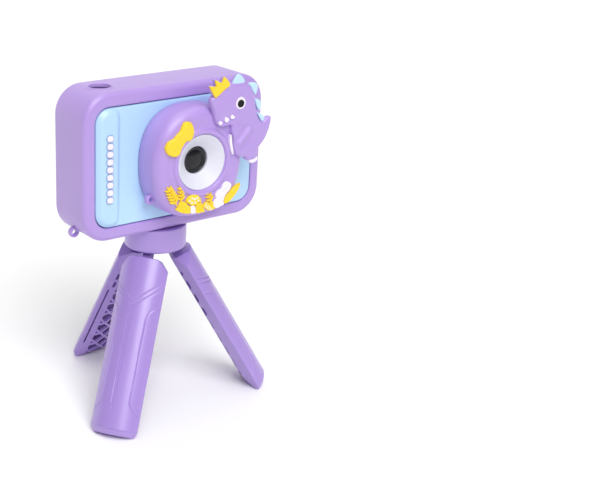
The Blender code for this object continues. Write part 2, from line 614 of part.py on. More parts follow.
def make_figure(camera):
    front = RELIEF_Y - DINO_T
    dino = place("dino_figure", plate(smooth_outline(DINO_OUTLINE), front, DINO_T), camera, lilac())
    bevel = dino.modifiers.new("soft_edge", "BEVEL")
    bevel.width = 0.6 * MM
    bevel.segments = 1
    bevel.limit_method = "ANGLE"
    bevel.angle_limit = math.radians(60.0)
    insets = [(f"back_spike_{number}", outline, front + 0.5, CREST_T, blue())
              for number, outline in enumerate(SPIKES, 1)]
    insets.append(("crown", CROWN_OUTLINE, front - 0.3, DINO_T + 0.3, yellow()))
    toes = [(28.9, -1.2), (31.3, -1.0), (33.5, -0.3), (34.0, -1.3), (33.6, -2.2), (32.0, -2.9),
            (30.4, -3.0), (29.3, -2.2)]
    insets.append(("toes", toes, front + 0.3, DINO_T - 0.3, white()))
    for name, outline, face, thickness, paint in insets:
        place(name, plate(outline, face, thickness), camera, paint)
        room = plate(grown(outline, GAP), front - 1.0, DINO_T + 2.0)
        combine(dino, tool(room, camera))
    place("belly", plate(BELLY_OUTLINE, RELIEF_Y - BELLY_T, BELLY_T), camera, white())

    skin = front - GAP
    place("dino_eye", facing([(2.75, skin), (2.55, skin - 0.4)], 20, (22.1, 26.6)), camera, white())
    place("dino_pupil", facing([(1.75, skin - 0.7), (1.55, skin - 0.9)], 16, (21.9, 26.5)), camera,
          black())
    for number, (x, z) in enumerate(((11.2, 18.7), (14.8, 19.8), (17.9, 20.8)), 1):
        tooth = [(x - 1.0, z - 0.8), (x + 1.1, z - 0.6), (x + 0.1, z + 1.1)]
        place(f"tooth_{number}", plate(tooth, skin - 0.4, 0.4), camera, white())


def grown(outline, amount):
    """The outline moved outward by about the given amount, from its centre."""
    count = len(outline)
    cx = sum(x for x, z in outline) / count
    cz = sum(z for x, z in outline) / count
    moved = []
    for x, z in outline:
        away = Vector((x - cx, z - cz))
        moved.append(tuple(Vector((x, z)) + away.normalized() * amount))
    return moved


def make_reliefs(camera):
    def relief(name, outline, paint):
        place(name, plate(outline, RELIEF_Y - RELIEF_T, RELIEF_T), camera, paint)

    relief("bow", smooth_outline(BOW_OUTLINE, 2), yellow())
    foliage = place("foliage", plate(smooth_outline(LEFT_BED, 2), RELIEF_Y - RELIEF_T, RELIEF_T),
                    camera, yellow())
    growths = [smooth_outline(RIGHT_BED, 2), smooth_outline(CAP_OUTLINE, 2),
               frond(-10.0, -18.4, math.radians(-24), 10.4, 4),
               frond(-7.2, -17.6, math.radians(-4), 9.2, 4),
               frond(9.0, -19.4, math.radians(-22), 6.2, 3)]
    for number, outline in enumerate(growths, 1):
        proud = 0.05 * number
        growth = plate(outline, RELIEF_Y - RELIEF_T - proud, RELIEF_T)
        combine(foliage, tool(growth, camera), "UNION")
    room = plate(grown(STEM_OUTLINE, GAP), RELIEF_Y - 2 * RELIEF_T - 1.0, 2 * RELIEF_T + 2.0)
    combine(foliage, tool(room, camera))
    relief("mushroom_stem", STEM_OUTLINE, white())
    cloud = smooth_outline(CLOUD_OUTLINE, 2)
    relief("cloud_flower", cloud, white())
    relief("long_leaf", smooth_outline(LEAF_OUTLINE, 2), yellow())
    strip = rounded_rectangle(3.0, 31.0, 1.4, 4)
    place("grip_strip", plate([(x - 37.3, z) for x, z in strip],
                              FACE_Y - PILLAR_RISE - GAP - 0.6, 0.6), camera, white())


# ---------------------------------------------------------------- tripod

def make_head(stand):
    inner = HEAD_R - SKIRT_WALL
    profile = [(HEAD_R - 0.8, HEAD_BOTTOM), (HEAD_R, HEAD_BOTTOM + 0.8), (HEAD_R, HEAD_TOP - 0.5),
               (HEAD_R - 0.5, HEAD_TOP), (SCREW_R + GAP, HEAD_TOP), (SCREW_R + GAP, HEAD_TOP - 2.5),
               (inner, HEAD_TOP - 2.5), (inner, HEAD_BOTTOM)]
    place("tripod_head", upright(profile, ROUND, closed=True), stand, tripod_lilac())
    flange = HEAD_TOP - 2.5 - GAP
    screw = [(5.5, flange - 1.7), (5.5, flange), (SCREW_R, flange), (SCREW_R, -26.4),
             (SCREW_R - 0.7, -25.6)]
    place("camera_screw", upright(screw, 20), stand, steel())
    top = flange - 1.7 - GAP
    hub = place("leg_hub", upright([(12.5, top - 1.8), (12.5, top)], 24), stand, tripod_lilac())
    for azimuth in LEG_AZIMUTH.values():
        turn = math.radians(azimuth)
        for side in (-1, 1):
            near = side * (LUG_T / 2 + GAP)
            far = side * (LUG_T / 2 + GAP + 1.9)
            ear = block((3.3, min(near, far), -47.0), (9.4, max(near, far), top - 1.0))
            ear_tool = tool(ear, stand)
            ear_tool.rotation_euler = (0.0, 0.0, turn)
            combine(hub, ear_tool, "UNION")
        bore = pin_shape(PIN_R + GAP, 9.0)
        bore_tool = tool(bore, stand, (PIVOT_R * math.cos(turn), PIVOT_R * math.sin(turn), PIVOT_Z))
        bore_tool.rotation_euler = (0.0, 0.0, turn)
        combine(hub, bore_tool)


def pin_shape(radius, half_length, count=10):
    turns = [2 * math.pi * i / count for i in range(count)]
    return loft([[(radius * math.cos(a), y, radius * math.sin(a)) for a in turns]
                 for y in (-half_length, half_length)])


def leg_section(radius, z, inner=LEG_INNER, inset=0.0, steps=12):
    """Third of a round handle: arc outside, radial sides, narrow flat inside."""
    half_angle = LEG_HALF_ANGLE - math.asin(inset / radius)
    half_inner = inner * math.tan(LEG_HALF_ANGLE) - inset / math.cos(LEG_HALF_ANGLE)
    arc = [half_angle * (2 * i / steps - 1) for i in range(steps + 1)]
    points = [(radius * math.cos(a), radius * math.sin(a)) for a in arc]
    points += [(inner, half_inner), (inner, -half_inner)]
    return [(x - PIVOT_R, y, z) for x, y in points]


def sideways(outline, half_width):
    """Prism across the leg from an (x, z) outline given from the tripod's axis."""
    return loft([[(x - PIVOT_R, y, z) for x, z in outline] for y in (-half_width, half_width)])


def clipped(polygon, keep):
    """The part of a polygon where keep(point) is positive."""
    out = []
    for i, p in enumerate(polygon):
        q = polygon[(i + 1) % len(polygon)]
        a, b = keep(p), keep(q)
        if a >= 0:
            out.append(p)
        if (a >= 0) != (b >= 0):
            t = a / (a - b)
            out.append((p[0] + (q[0] - p[0]) * t, p[1] + (q[1] - p[1]) * t))
    return out if len(out) > 2 else []


def area(polygon):
    turns = zip(polygon, polygon[1:] + polygon[:1])
    return abs(sum(a[0] * b[1] - b[0] * a[1] for a, b in turns)) / 2


def lattice_cells():
    """Diamond openings, as (y, z) polygons, between the crossing ribs on the leg's inner side."""
    half_y, half_z = LATTICE_W / 2, LATTICE_H / 2
    shrink = 1 - RIB / 2 * math.hypot(1 / half_y, 1 / half_z)
    edges = [lambda p: LATTICE_HALF_W - p[0], lambda p: p[0] + LATTICE_HALF_W,
             lambda p: LATTICE_TOP - p[1], lambda p: p[1] - LATTICE_BOTTOM]
    cells = []
    for row in range(19):
        for column in (-1, 0, 1):
            if (row + column) % 2:
                continue
            y, z = column * half_y, LATTICE_TOP - 2.0 - row * half_z
            cell = [(y + half_y * shrink, z), (y, z + half_z * shrink),
                    (y - half_y * shrink, z), (y, z - half_z * shrink)]
            for keep in edges:
                cell = clipped(cell, keep)
            if cell and area(cell) > 1.5:
                cells.append(cell)
    return cells


def side_slot(near, far, low, high, depth):
    """Slot in a radial side, between two distances from the tripod's axis."""
    along = Vector((math.cos(LEG_HALF_ANGLE), math.sin(LEG_HALF_ANGLE), 0.0))
    out = Vector((-along.y, along.x, 0.0))
    corners = [along * near + out, along * far + out, along * far - out * depth,
               along * near - out * depth]
    return loft([[(p.x - PIVOT_R, p.y, z) for p in corners] for z in (low, high)])


def leg_tools(pivot):
    """(shape, operation) pairs that turn the plain sector into the leg."""
    hollow = loft([leg_section(12.4, z, 4.1, 1.4) for z in (LEG_BOTTOM + 5.0, LEG_TOP - 7.0)])
    shapes = [(hollow, "DIFFERENCE")]
    lug = []
    for step in range(9):
        angle = math.radians(180.0 * step / 8)
        lug.append((PIVOT_R + LUG_R * math.cos(angle), LUG_R * math.sin(angle)))
    lug += [(PIVOT_R - LUG_R, LEG_TOP - 3.0), (PIVOT_R + LUG_R, LEG_TOP - 3.0)]
    shapes.append((sideways(lug, LUG_T / 2), "UNION"))
    toe = [(0.0, -77.0), (LEG_INNER, -84.0), (5.9, LEG_BOTTOM), (8.2, LEG_BOTTOM - 6.0),
           (0.0, LEG_BOTTOM - 6.0)]
    shapes.append((sideways(toe, 16.0), "DIFFERENCE"))
    for side in (-1, 1):
        cut = [(side * 6.6, LEG_TOP + 0.4), (side * 13.6, LEG_TOP - 6.6),
               (side * 16.0, LEG_TOP + 3.0), (side * 7.0, LEG_TOP + 3.0)]
        corner = loft([[(x - PIVOT_R, y, z) for y, z in cut] for x in (0.0, 18.0)])
        shapes.append((corner, "DIFFERENCE"))
    for cell in lattice_cells():
        opening = loft([[(x - PIVOT_R, y, z) for y, z in cell] for x in (0.8, 6.9)])
        shapes.append((opening, "DIFFERENCE"))
    shapes.append((side_slot(10.9, 11.7, -80.0, -37.0, 0.8), "DIFFERENCE"))
    for low, high in ((-28.8, -24.6), (-34.6, -30.6)):
        shapes.append((side_slot(9.0, 10.4, low, high, 2.4), "DIFFERENCE"))
    shapes.append((pin_shape(PIN_R + GAP, 5.0), "DIFFERENCE"))
    return [(tool(shape, pivot), operation) for shape, operation in shapes]


def make_legs(stand):
    ground = tool(block((-120.0, -120.0, GROUND - 20.0), (120.0, 120.0, GROUND)), stand)
    for name, azimuth in LEG_AZIMUTH.items():
        turn = math.radians(azimuth)
        at = (PIVOT_R * math.cos(turn), PIVOT_R * math.sin(turn), PIVOT_Z)
        pivot = empty(f"{name}_leg_pivot", at, stand, (0.0, -SPLAY, turn))
        body = loft([leg_section(LEG_R - 1.8, LEG_BOTTOM), leg_section(LEG_R, LEG_BOTTOM + 3.2),
                     leg_section(LEG_R, LEG_TOP - 0.6), leg_section(LEG_R - 0.6, LEG_TOP)])
        leg = place(f"leg_{name}", body, pivot, tripod_lilac())
        for shape, operation in leg_tools(pivot):
            combine(leg, shape, operation)
        combine(leg, ground)
        pin = place(f"leg_pin_{name}", pin_shape(PIN_R, 4.1), stand, steel(), at)
        pin.rotation_euler = (0.0, 0.0, turn)


# ---------------------------------------------------------------- assembly

def centre_over_origin(stand):
    """Moves the whole object so that its box stands centred on the origin."""
    bpy.context.view_layer.update()
    graph = bpy.context.evaluated_depsgraph_get()
    low, high = Vector((9, 9, 9)), Vector((-9, -9, -9))
    for obj in bpy.context.scene.objects:
        if obj.type != "MESH" or obj.hide_render:
            continue
        shape = obj.evaluated_get(graph)
        for vertex in shape.data.vertices:
            point = shape.matrix_world @ vertex.co
            low = Vector(map(min, low, point))
            high = Vector(map(max, high, point))
    middle = (low + high) / 2
    stand.location -= Vector((middle.x, middle.y, low.z))


def main():
    clear_scene()
    stand = empty("stand", (0.0, 0.0, 0.0))
    turn = empty("camera_turn", (0.0, 0.0, HEAD_TOP), stand)
    camera = empty("camera", (-TRIPOD_X, 0.0, -HEAD_TOP), turn)
    make_sleeve(camera)
    make_front_cover(camera)
    make_rear_cover(camera)
    make_hood(camera)
    make_lens_housing(camera)
    make_lens(camera)
    make_buttons(camera)
    make_rear_window(camera)
    make_back_details(camera)
    make_inside(camera)
    make_figure(camera)
    make_reliefs(camera)
    make_head(stand)
    make_legs(stand)
    centre_over_origin(stand)


main()
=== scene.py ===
"""Look of the kids digital camera and its folding mini tripod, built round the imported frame.

Shapes are written in millimetres.  Those of the camera are in its own frame: origin in the middle
of the sleeve, +X to the right as seen from the front, +Y to the back, +Z up.  Those of a leg are in
the folded leg's frame: x out from the tripod's axis, y across, z along, origin at its pivot's height.
"""

from math import asin, atan2, copysign, cos, degrees, hypot, pi, radians, sin, sqrt, tan

import bmesh
import bpy
import numpy as np
from mathutils import Matrix, Vector
from mathutils.geometry import delaunay_2d_cdt


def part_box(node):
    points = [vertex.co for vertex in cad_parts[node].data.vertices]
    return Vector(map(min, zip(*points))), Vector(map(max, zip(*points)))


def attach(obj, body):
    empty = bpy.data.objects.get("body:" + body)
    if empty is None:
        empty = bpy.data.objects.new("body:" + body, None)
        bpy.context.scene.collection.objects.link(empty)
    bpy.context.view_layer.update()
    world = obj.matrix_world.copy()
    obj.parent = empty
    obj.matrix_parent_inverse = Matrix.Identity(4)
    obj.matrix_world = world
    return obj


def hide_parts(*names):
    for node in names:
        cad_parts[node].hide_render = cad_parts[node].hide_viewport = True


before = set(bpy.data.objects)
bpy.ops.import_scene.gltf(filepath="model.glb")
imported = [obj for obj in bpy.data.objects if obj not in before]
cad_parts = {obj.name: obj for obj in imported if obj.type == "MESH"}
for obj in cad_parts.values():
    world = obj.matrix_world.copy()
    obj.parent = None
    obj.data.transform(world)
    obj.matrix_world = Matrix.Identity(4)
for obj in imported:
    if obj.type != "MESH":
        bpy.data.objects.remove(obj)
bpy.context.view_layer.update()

MM = 0.001

# ---- places taken from the frame

window_low, window_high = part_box("rear_window")
head_low, head_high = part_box("tripod_head")
PANEL_Y = 11.5
HEAD_TOP_Z = -34.8
PIVOT_R, PIVOT_Z = 6.5, -44.05
SPLAY = radians(29.8)
LEG_AZIMUTH = {"front": -144.6, "right": -24.6, "rear": 95.4}
ORIGIN = Vector(((window_low.x + window_high.x) / 2, window_low.y - PANEL_Y * MM,
                 (window_low.z + window_high.z) / 2))
AXIS = Vector(((head_low.x + head_high.x) / 2, (head_low.y + head_high.y) / 2,
               head_high.z - HEAD_TOP_Z * MM))
CAMERA_FRAME = Matrix.Translation(ORIGIN) @ Matrix.Scale(MM, 4)
STAND_FRAME = Matrix.Translation(AXIS) @ Matrix.Scale(MM, 4)


def leg_frame(azimuth):
    """Folded leg's frame, with the leg swung out to where it stands."""
    turn = radians(azimuth)
    pivot = Vector((PIVOT_R * cos(turn), PIVOT_R * sin(turn), PIVOT_Z))
    return (STAND_FRAME @ Matrix.Translation(pivot) @ Matrix.Rotation(turn, 4, "Z")
            @ Matrix.Rotation(-SPLAY, 4, "Y") @ Matrix.Translation((-PIVOT_R, 0.0, 0.0)))


# ---- outlines

def rounded_box(width, height, radii, steps=14):
    """Rectangle round the origin; radii is one radius, or four from the top right round to the left."""
    points = []
    for quarter, (sx, sz) in enumerate(((1, 1), (-1, 1), (-1, -1), (1, -1))):
        radius = radii[quarter] if isinstance(radii, tuple) else radii
        for step in range(steps + 1):
            angle = radians(90.0 * (quarter + step / steps))
            points.append((sx * (width / 2 - radius) + radius * cos(angle),
                           sz * (height / 2 - radius) + radius * sin(angle)))
    return points


def superellipse(half_w, half_h, power, count=144):
    points = []
    for i in range(count):
        angle = 2 * pi * i / count
        c, s = cos(angle), sin(angle)
        points.append((half_w * copysign(abs(c) ** (2 / power), c),
                       half_h * copysign(abs(s) ** (2 / power), s)))
    return points


def circle(radius, count=72):
    return superellipse(radius, radius, 2.0, count)


def xz(text):
    """Points from text such as "1.5 2, 3 4": x and z of each, or angle and z."""
    return [tuple(float(number) for number in pair.split()) for pair in text.split(",")]


def shifted(points, dx, dz):
    return [(x + dx, z + dz) for x, z in points]


def smoothed(points, per_span=6):
    """Closed Catmull-Rom curve through the points."""
    count = len(points)
    curve = []
    for i in range(count):
        p0, p1, p2, p3 = (Vector(points[(i + k) % count]) for k in (-1, 0, 1, 2))
        for step in range(per_span):
            t = step / per_span
            curve.append(tuple(0.5 * ((2 * p1) + (p2 - p0) * t
                                      + (2 * p0 - 5 * p1 + 4 * p2 - p3) * t * t
                                      + (3 * p1 - p0 - 3 * p2 + p3) * t ** 3)))
    return curve


def filleted(corners, closed=False, steps=6):
    """Polyline of (u, v, radius) corners with every corner rounded by an arc."""
    out = []
    count = len(corners)
    for i, (u, v, radius) in enumerate(corners):
        p = Vector((u, v))
        if radius <= 0 or (not closed and i in (0, count - 1)):
            out.append((u, v))
            continue
        to_a = Vector(corners[i - 1][:2]) - p
        to_b = Vector(corners[(i + 1) % count][:2]) - p
        half = to_a.angle(to_b) / 2
        cut = min(radius / tan(half), 0.499 * to_a.length, 0.499 * to_b.length)
        radius = cut * tan(half)
        centre = p + (to_a.normalized() + to_b.normalized()).normalized() * (radius / sin(half))
        start = p + to_a.normalized() * cut - centre
        end = p + to_b.normalized() * cut - centre
        first = atan2(start.y, start.x)
        sweep = (atan2(end.y, end.x) - first + pi) % (2 * pi) - pi
        for step in range(steps + 1):
            angle = first + sweep * step / steps
            out.append((centre.x + radius * cos(angle), centre.y + radius * sin(angle)))
    return out


def resampled(outline, step):
    """Closed outline with points an even distance apart, counter-clockwise."""
    points = np.array(outline, float)
    if (np.roll(points[:, 0], -1) * points[:, 1] - points[:, 0] * np.roll(points[:, 1], -1)).sum() > 0:
        points = points[::-1]
    ends = np.vstack([points, points[:1]])
    along = np.concatenate([[0.0], np.cumsum(np.linalg.norm(np.diff(ends, axis=0), axis=1))])
    count = max(8, int(round(along[-1] / step)))
    at = np.linspace(0.0, along[-1], count, endpoint=False)
    return np.stack([np.interp(at, along, ends[:, 0]), np.interp(at, along, ends[:, 1])], 1)


def edge_distance(points, line, closed=True):
    """Distance of each point from a line of points."""
    points = np.asarray(points, float)
    line = np.asarray(line, float)
    a, b = (line, np.roll(line, -1, 0)) if closed else (line[:-1], line[1:])
    best = np.full(len(points), 1e9)
    for start, end in zip(a, b):
        span = end - start
        t = np.clip(((points - start) @ span) / max(span @ span, 1e-12), 0, 1)
        away = points - start - t[:, None] * span
        best = np.minimum(best, (away ** 2).sum(1))
    return np.sqrt(best)


def is_inside(points, outline):
    a, b = outline, np.roll(outline, -1, 0)
    x, y = points[:, :1], points[:, 1:]
    crosses = (a[:, 1] > y) != (b[:, 1] > y)
    with np.errstate(divide="ignore", invalid="ignore"):
        at = a[:, 0] + (y - a[:, 1]) / (b[:, 1] - a[:, 1]) * (b[:, 0] - a[:, 0])
    return (crosses & (x < at)).sum(1) % 2 == 1


def soft_step(value):
    value = np.clip(value, 0.0, 1.0)
    return value * value * (3 - 2 * value)


def ridge(x, z, line, radius, height):
    """Height of a soft ridge that runs along a line; a negative height makes a groove."""
    away = edge_distance(np.stack([x, z], 1), line, closed=False)
    return height * soft_step(1 - away / radius)


# ---- meshes

def loft(loops, closed=False, bm=None):
    """Skins a list of loops; open ends are capped, a closed list joins last to first."""
    part = bmesh.new()
    rings = [[part.verts.new(point) for point in loop] for loop in loops]
    for ring, after in zip(rings, rings[1:] + (rings[:1] if closed else [])):
        for i in range(len(ring)):
            j = (i + 1) % len(ring)
            part.faces.new((ring[i], ring[j], after[j], after[i]))
    if not closed:
        part.faces.new(rings[0])
        part.faces.new(rings[-1])
    return added(bm, part)


def added(bm, part):
    """Puts a closed part, facing outward, into a larger mesh."""
    bmesh.ops.recalc_face_normals(part, faces=part.faces)
    return part if bm is None else merged(bm, part)


def merged(bm, part):
    mesh = bpy.data.meshes.new("part")
    part.to_mesh(mesh)
    part.free()
    bm.from_mesh(mesh)
    bpy.data.meshes.remove(mesh)
    return bm


def at_y(points, y, centre=(0.0, 0.0)):
    return [(x + centre[0], y, z + centre[1]) for x, z in points]


def turned_y(profile, centre=(0.0, 0.0), count=72, closed=True, bm=None):
    """Turns (radius, y) points about an axis along Y through centre (x, z)."""
    return loft([at_y(circle(r, count), y, centre) for r, y in profile], closed, bm)


def turned_z(profile, centre=(0.0, 0.0), count=72, closed=True, bm=None):
    """Turns (radius, z) points about an axis along Z through centre (x, y)."""
    return loft([[(x + centre[0], y + centre[1], z) for x, y in circle(r, count)]
                 for r, z in profile], closed, bm)


def oval_section(radius, y, half_r, half_y):
    """Oval of (radius, y) points, for a ring turned about an axis along Y."""
    return [(radius + half_r * cos(a), y + half_y * sin(a))
            for a in (2 * pi * k / 16 for k in range(16))]


RIM_STEPS = 5


def puffy(outline, base, thick, edge, bumps=None, step=0.45, fill=1.0, bm=None, facing=-1, seeds=(),
          sunk=0.0):
    """Plate with a rounded rim that rises from y = base towards facing, and starts sunk below it.

    bumps gives extra height at (x, z).  step and fill are the spacing of the mesh's points along the
    rim and inside it, and seeds are more points inside it.
    """
    rim = resampled(outline, step)
    tangent = np.roll(rim, -1, 0) - np.roll(rim, 1, 0)
    inward = np.stack([-tangent[:, 1], tangent[:, 0]], 1)
    inward /= np.maximum(np.linalg.norm(inward, axis=1), 1e-9)[:, None]
    sets = [rim]
    for k in range(1, RIM_STEPS + 1):
        depth = edge * (1 - cos(pi / 2 * k / RIM_STEPS))
        ring = rim + inward * depth
        good = is_inside(ring, rim) & (edge_distance(ring, rim) > 0.97 * depth)
        sets.append(ring[good])
    low, high = rim.min(0), rim.max(0)
    xs = np.arange(low[0], high[0], fill)
    zs = np.arange(low[1], high[1], fill * 0.87)
    grid = np.array([(x + (fill / 2 if j % 2 else 0), z) for j, z in enumerate(zs) for x in xs])
    for extra in list(seeds) + [grid]:
        extra = np.asarray(extra, float)
        if len(extra):
            good = is_inside(extra, rim)
            extra = extra[good]
            sets.append(extra[edge_distance(extra, rim) > edge + 0.35 * fill] if len(extra) else extra)
    coords = [Vector(p) for p in np.concatenate([s for s in sets if len(s)])]
    found, _, faces, origins, _, _ = delaunay_2d_cdt(coords, [], [list(range(len(rim)))], 1, 1e-5)
    flat = np.array([tuple(p) for p in found])
    away = edge_distance(flat, rim)
    share = np.clip(away / edge, 0, 1)
    height = (thick - edge) + edge * np.sqrt(np.clip(1 - (1 - share) ** 2, 0, 1))
    if bumps is not None:
        height = height + bumps(flat[:, 0], flat[:, 1]) * soft_step(away / edge)
    part = bmesh.new()
    front = [part.verts.new((x, base + facing * h, z)) for (x, z), h in zip(flat, height)]
    for face in faces:
        part.faces.new([front[i] for i in face])
    place = {}
    for i, sources in enumerate(origins):
        for source in sources:
            if source < len(rim):
                place[source] = i
    order = [place[i] for i in range(len(rim)) if i in place]
    back = [part.verts.new((flat[i][0], base - facing * sunk, flat[i][1])) for i in order]
    for k in range(len(order)):
        n = (k + 1) % len(order)
        part.faces.new((front[order[k]], front[order[n]], back[n], back[k]))
    part.faces.new(back)
    loose = [v for v in part.verts if not v.link_faces]
    bmesh.ops.delete(part, geom=loose, context="VERTS")
    return added(bm, part)


def linked(name, data):
    obj = bpy.data.objects.new(name, data)
    bpy.context.scene.collection.objects.link(obj)
    return obj


def piece(name, bm, matrix, paint, body, nodes=(), sharp=38.0):
    """Finished object in the row frame, riding on a body and standing for its CAD nodes."""
    bm.transform(matrix)
    mesh = bpy.data.meshes.new(name)
    bm.to_mesh(mesh)
    bm.free()
    mesh.shade_smooth()
    mesh.set_sharp_from_angle(angle=radians(sharp))
    obj = linked(name, mesh)
    mesh.materials.append(paint)
    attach(obj, body)
    if nodes:
        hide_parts(*nodes)


def on_camera(name, bm, paint, *nodes, slot=None, sharp=38.0):
    """Piece on the camera's body.

    slot is not used.
    """
    piece(name, bm, CAMERA_FRAME, paint, "camera", nodes, sharp)


def boolean(bm, cutter, operation="DIFFERENCE"):
    """Applies an exact Boolean of one mesh with another and returns the result."""
    objects = []
    for part in (bm, cutter):
        mesh = bpy.data.meshes.new("boolean")
        part.to_mesh(mesh)
        part.free()
        objects.append(linked("boolean", mesh))
    modifier = objects[0].modifiers.new("boolean", "BOOLEAN")
    modifier.operation = operation
    modifier.object = objects[1]
    modifier.solver = "EXACT"
    graph = bpy.context.evaluated_depsgraph_get()
    result = bmesh.new()
    result.from_mesh(objects[0].evaluated_get(graph).to_mesh())
    for obj in objects:
        mesh = obj.data
        bpy.data.objects.remove(obj)
        bpy.data.meshes.remove(mesh)
    return result


# ---- materials

def put(node, **values):
    """Sets a node's own inputs; an underscore in a key stands for a space."""
    for key, value in values.items():
        node.inputs[key.replace("_", " ")].default_value = value


def surface(name, rgb, rough, vary=0.06, patch=45.0, grain=2600.0, bump=0.02, rough_vary=0.06, **extra):
    """Procedural moulded material: soft colour variation, uneven gloss and a fine grain."""
    made = bpy.data.materials.new(name)
    made.use_nodes = True
    nodes, links = made.node_tree.nodes, made.node_tree.links
    shader = nodes["Principled BSDF"]
    coords = nodes.new("ShaderNodeTexCoord")

    def noise(scale, detail):
        made_noise = nodes.new("ShaderNodeTexNoise")
        put(made_noise, Scale=scale, Detail=detail)
        links.new(coords.outputs["Object"], made_noise.inputs["Vector"])
        return made_noise.outputs["Fac"]

    mix = nodes.new("ShaderNodeMix")
    mix.data_type = "RGBA"
    mix.inputs[6].default_value = (*[c * (1 - vary) for c in rgb], 1.0)
    mix.inputs[7].default_value = (*[min(1.0, c * (1 + vary)) for c in rgb], 1.0)
    links.new(noise(patch, 3.0), mix.inputs[0])
    links.new(mix.outputs[2], shader.inputs["Base Color"])
    spread = nodes.new("ShaderNodeMapRange")
    put(spread, To_Min=rough - rough_vary, To_Max=rough + rough_vary)
    links.new(noise(patch * 4, 4.0), spread.inputs["Value"])
    links.new(spread.outputs["Result"], shader.inputs["Roughness"])
    fine = nodes.new("ShaderNodeBump")
    put(fine, Strength=0.35, Distance=bump * MM)
    links.new(noise(grain, 2.0), fine.inputs["Height"])
    links.new(fine.outputs["Normal"], shader.inputs["Normal"])
    put(shader, **extra)
    return made


def linear(r, g, b):
    """sRGB 0-255 to scene linear."""
    return tuple(c / 12.92 if c <= 0.04045 else ((c + 0.055) / 1.055) ** 2.4
                 for c in (r / 255, g / 255, b / 255))


SILICONE = dict(bump=0.03, Sheen_Weight=0.12, Sheen_Roughness=0.45, Subsurface_Weight=0.12,
                Subsurface_Radius=(0.0012, 0.0009, 0.0014), Subsurface_Scale=1.0)
LILAC = surface("lilac_silicone", linear(180, 150, 221), 0.38, vary=0.03, Specular_IOR_Level=0.75,
                **SILICONE)
# Dark lilac for the ring just inside the shutter hole: painted shade at the foot of the hole's wall.
HOLE_SHADE = surface("lilac_hole_shade", linear(92, 68, 124), 0.6, vary=0.06)
# Greyed lilac for the floor of the viewfinder well: partly the floor's own darker colour, partly painted
# shade of the deep well.
DUSK = surface("well_shade", linear(118, 106, 146), 0.6, vary=0.06)
PLUM = surface("lilac_tripod", linear(168, 140, 214), 0.31, vary=0.03, patch=30.0, bump=0.006,
               rough_vary=0.015, Specular_IOR_Level=0.85, Coat_Weight=0.25, Coat_Roughness=0.3)
BLUE = surface("blue_cover", linear(184, 219, 250), 0.33, vary=0.02, bump=0.012)
# Darker blue-grey for a seat a little wider than each bead, giving each bead a dark rim: partly the outline
# round raised lettering, partly painted shadow round the bead.
RIM_SHADE = surface("bead_outline_and_shadow", linear(150, 172, 214), 0.45, vary=0.04)
# Dark navy for the shell behind the cover, which shows only through the gap round the cover's face: painted
# shade of that gap.
GAP_SHADE = surface("blue_gap_shade", linear(46, 56, 120), 0.6, vary=0.08)
SKY = surface("blue_silicone", linear(194, 226, 250), 0.45, vary=0.03, bump=0.03)
YELLOW = surface("yellow_silicone", linear(252, 214, 44), 0.45, vary=0.05, patch=160.0, bump=0.03)
WHITE = surface("white_silicone", linear(242, 236, 248), 0.45, vary=0.02, bump=0.02)
IVORY = surface("white_plastic", linear(223, 223, 236), 0.5, vary=0.02, bump=0.01)
KEYCAP = surface("key_plastic", linear(240, 237, 248), 0.42, vary=0.10, patch=1500.0, bump=0.05)
GLASS = surface("lens_glass", linear(20, 20, 25), 0.22, vary=0.2, bump=0.0, rough_vary=0.03,
                Specular_IOR_Level=0.4)
RING = surface("lens_ring", linear(34, 33, 40), 0.30, vary=0.1, bump=0.01)
INK = surface("pupil", linear(18, 17, 21), 0.45, vary=0.1, Specular_IOR_Level=0.25)
DARK = surface("dark_plastic", linear(48, 46, 54), 0.5, vary=0.1, bump=0.03)
STEEL = surface("steel", (0.55, 0.55, 0.57), 0.3, vary=0.05, Metallic=1.0)
BRASS = surface("brass", (0.72, 0.52, 0.24), 0.3, vary=0.06, Metallic=1.0)
BOARD = surface("circuit_board", (0.03, 0.22, 0.09), 0.45, vary=0.3, patch=300.0)
WRAP = surface("battery_wrap", (0.35, 0.40, 0.46), 0.4, vary=0.08)


# ---- sleeve

SLEEVE_W, SLEEVE_D, SLEEVE_H, SLEEVE_R = 100.0, 27.0, 69.0, 13.2
WALL, FRONT_LIP, REAR_LIP, POCKET_Y = 2.2, 5.9, 6.0, 11.5
ARC_X, ARC_Z = SLEEVE_W / 2 - SLEEVE_R, SLEEVE_H / 2 - SLEEVE_R
STRAP_REACH, STRAP_TURN = SLEEVE_R + 1.7, radians(45.8)
SOCKET, SOCKET_R = (-1.9, 0.0), 5.5
SLOT_NEAR, SLOT_FAR, SLOT_HALF = 41.4, 47.5, 1.5
CHANNEL_DEPTH, CHANNEL_START, CHANNEL_END = 1.5, radians(19), radians(80)
SHUTTER = (-34.0, -1.0)
SHUTTER_R, SHUTTER_TOP, SHUTTER_HOLE_R = 4.2, 32.5, 4.95


def sleeve_loop(inset, y, lip_start, lip_end, lip_height):
    """Outline at an inset; past lip_start its height runs on to the opening's own proportions."""
    extra = lip_height * max(0.0, min(1.0, (inset - lip_start) / (lip_end - lip_start)))
    radius = max(SLEEVE_R - inset * 0.97, 2.0)
    outline = rounded_box(SLEEVE_W - 2 * inset, SLEEVE_H - 2 * (inset + extra), radius)
    return at_y(outline, y)


def slot_channel():
    """Shallow channel round the lower right corner, with rounded ends; the slot is at its lower end."""
    rings = []
    for y, pull in ((-1.4, 1.2), (-1.25, 0.6), (-0.9, 0.15), (-0.4, 0.0), (0.4, 0.0), (0.9, 0.15),
                    (1.25, 0.6), (1.4, 1.2)):
        first, last = CHANNEL_START + pull / SLEEVE_R, CHANNEL_END - pull / SLEEVE_R
        turns = [first + (last - first) * k / 12 for k in range(13)]
        rings.append([(ARC_X + r * sin(a), y, -ARC_Z - r * cos(a))
                      for r, path in ((SLEEVE_R + 1.0, turns), (SLEEVE_R - CHANNEL_DEPTH, turns[::-1]))
                      for a in path])
    return loft(rings)


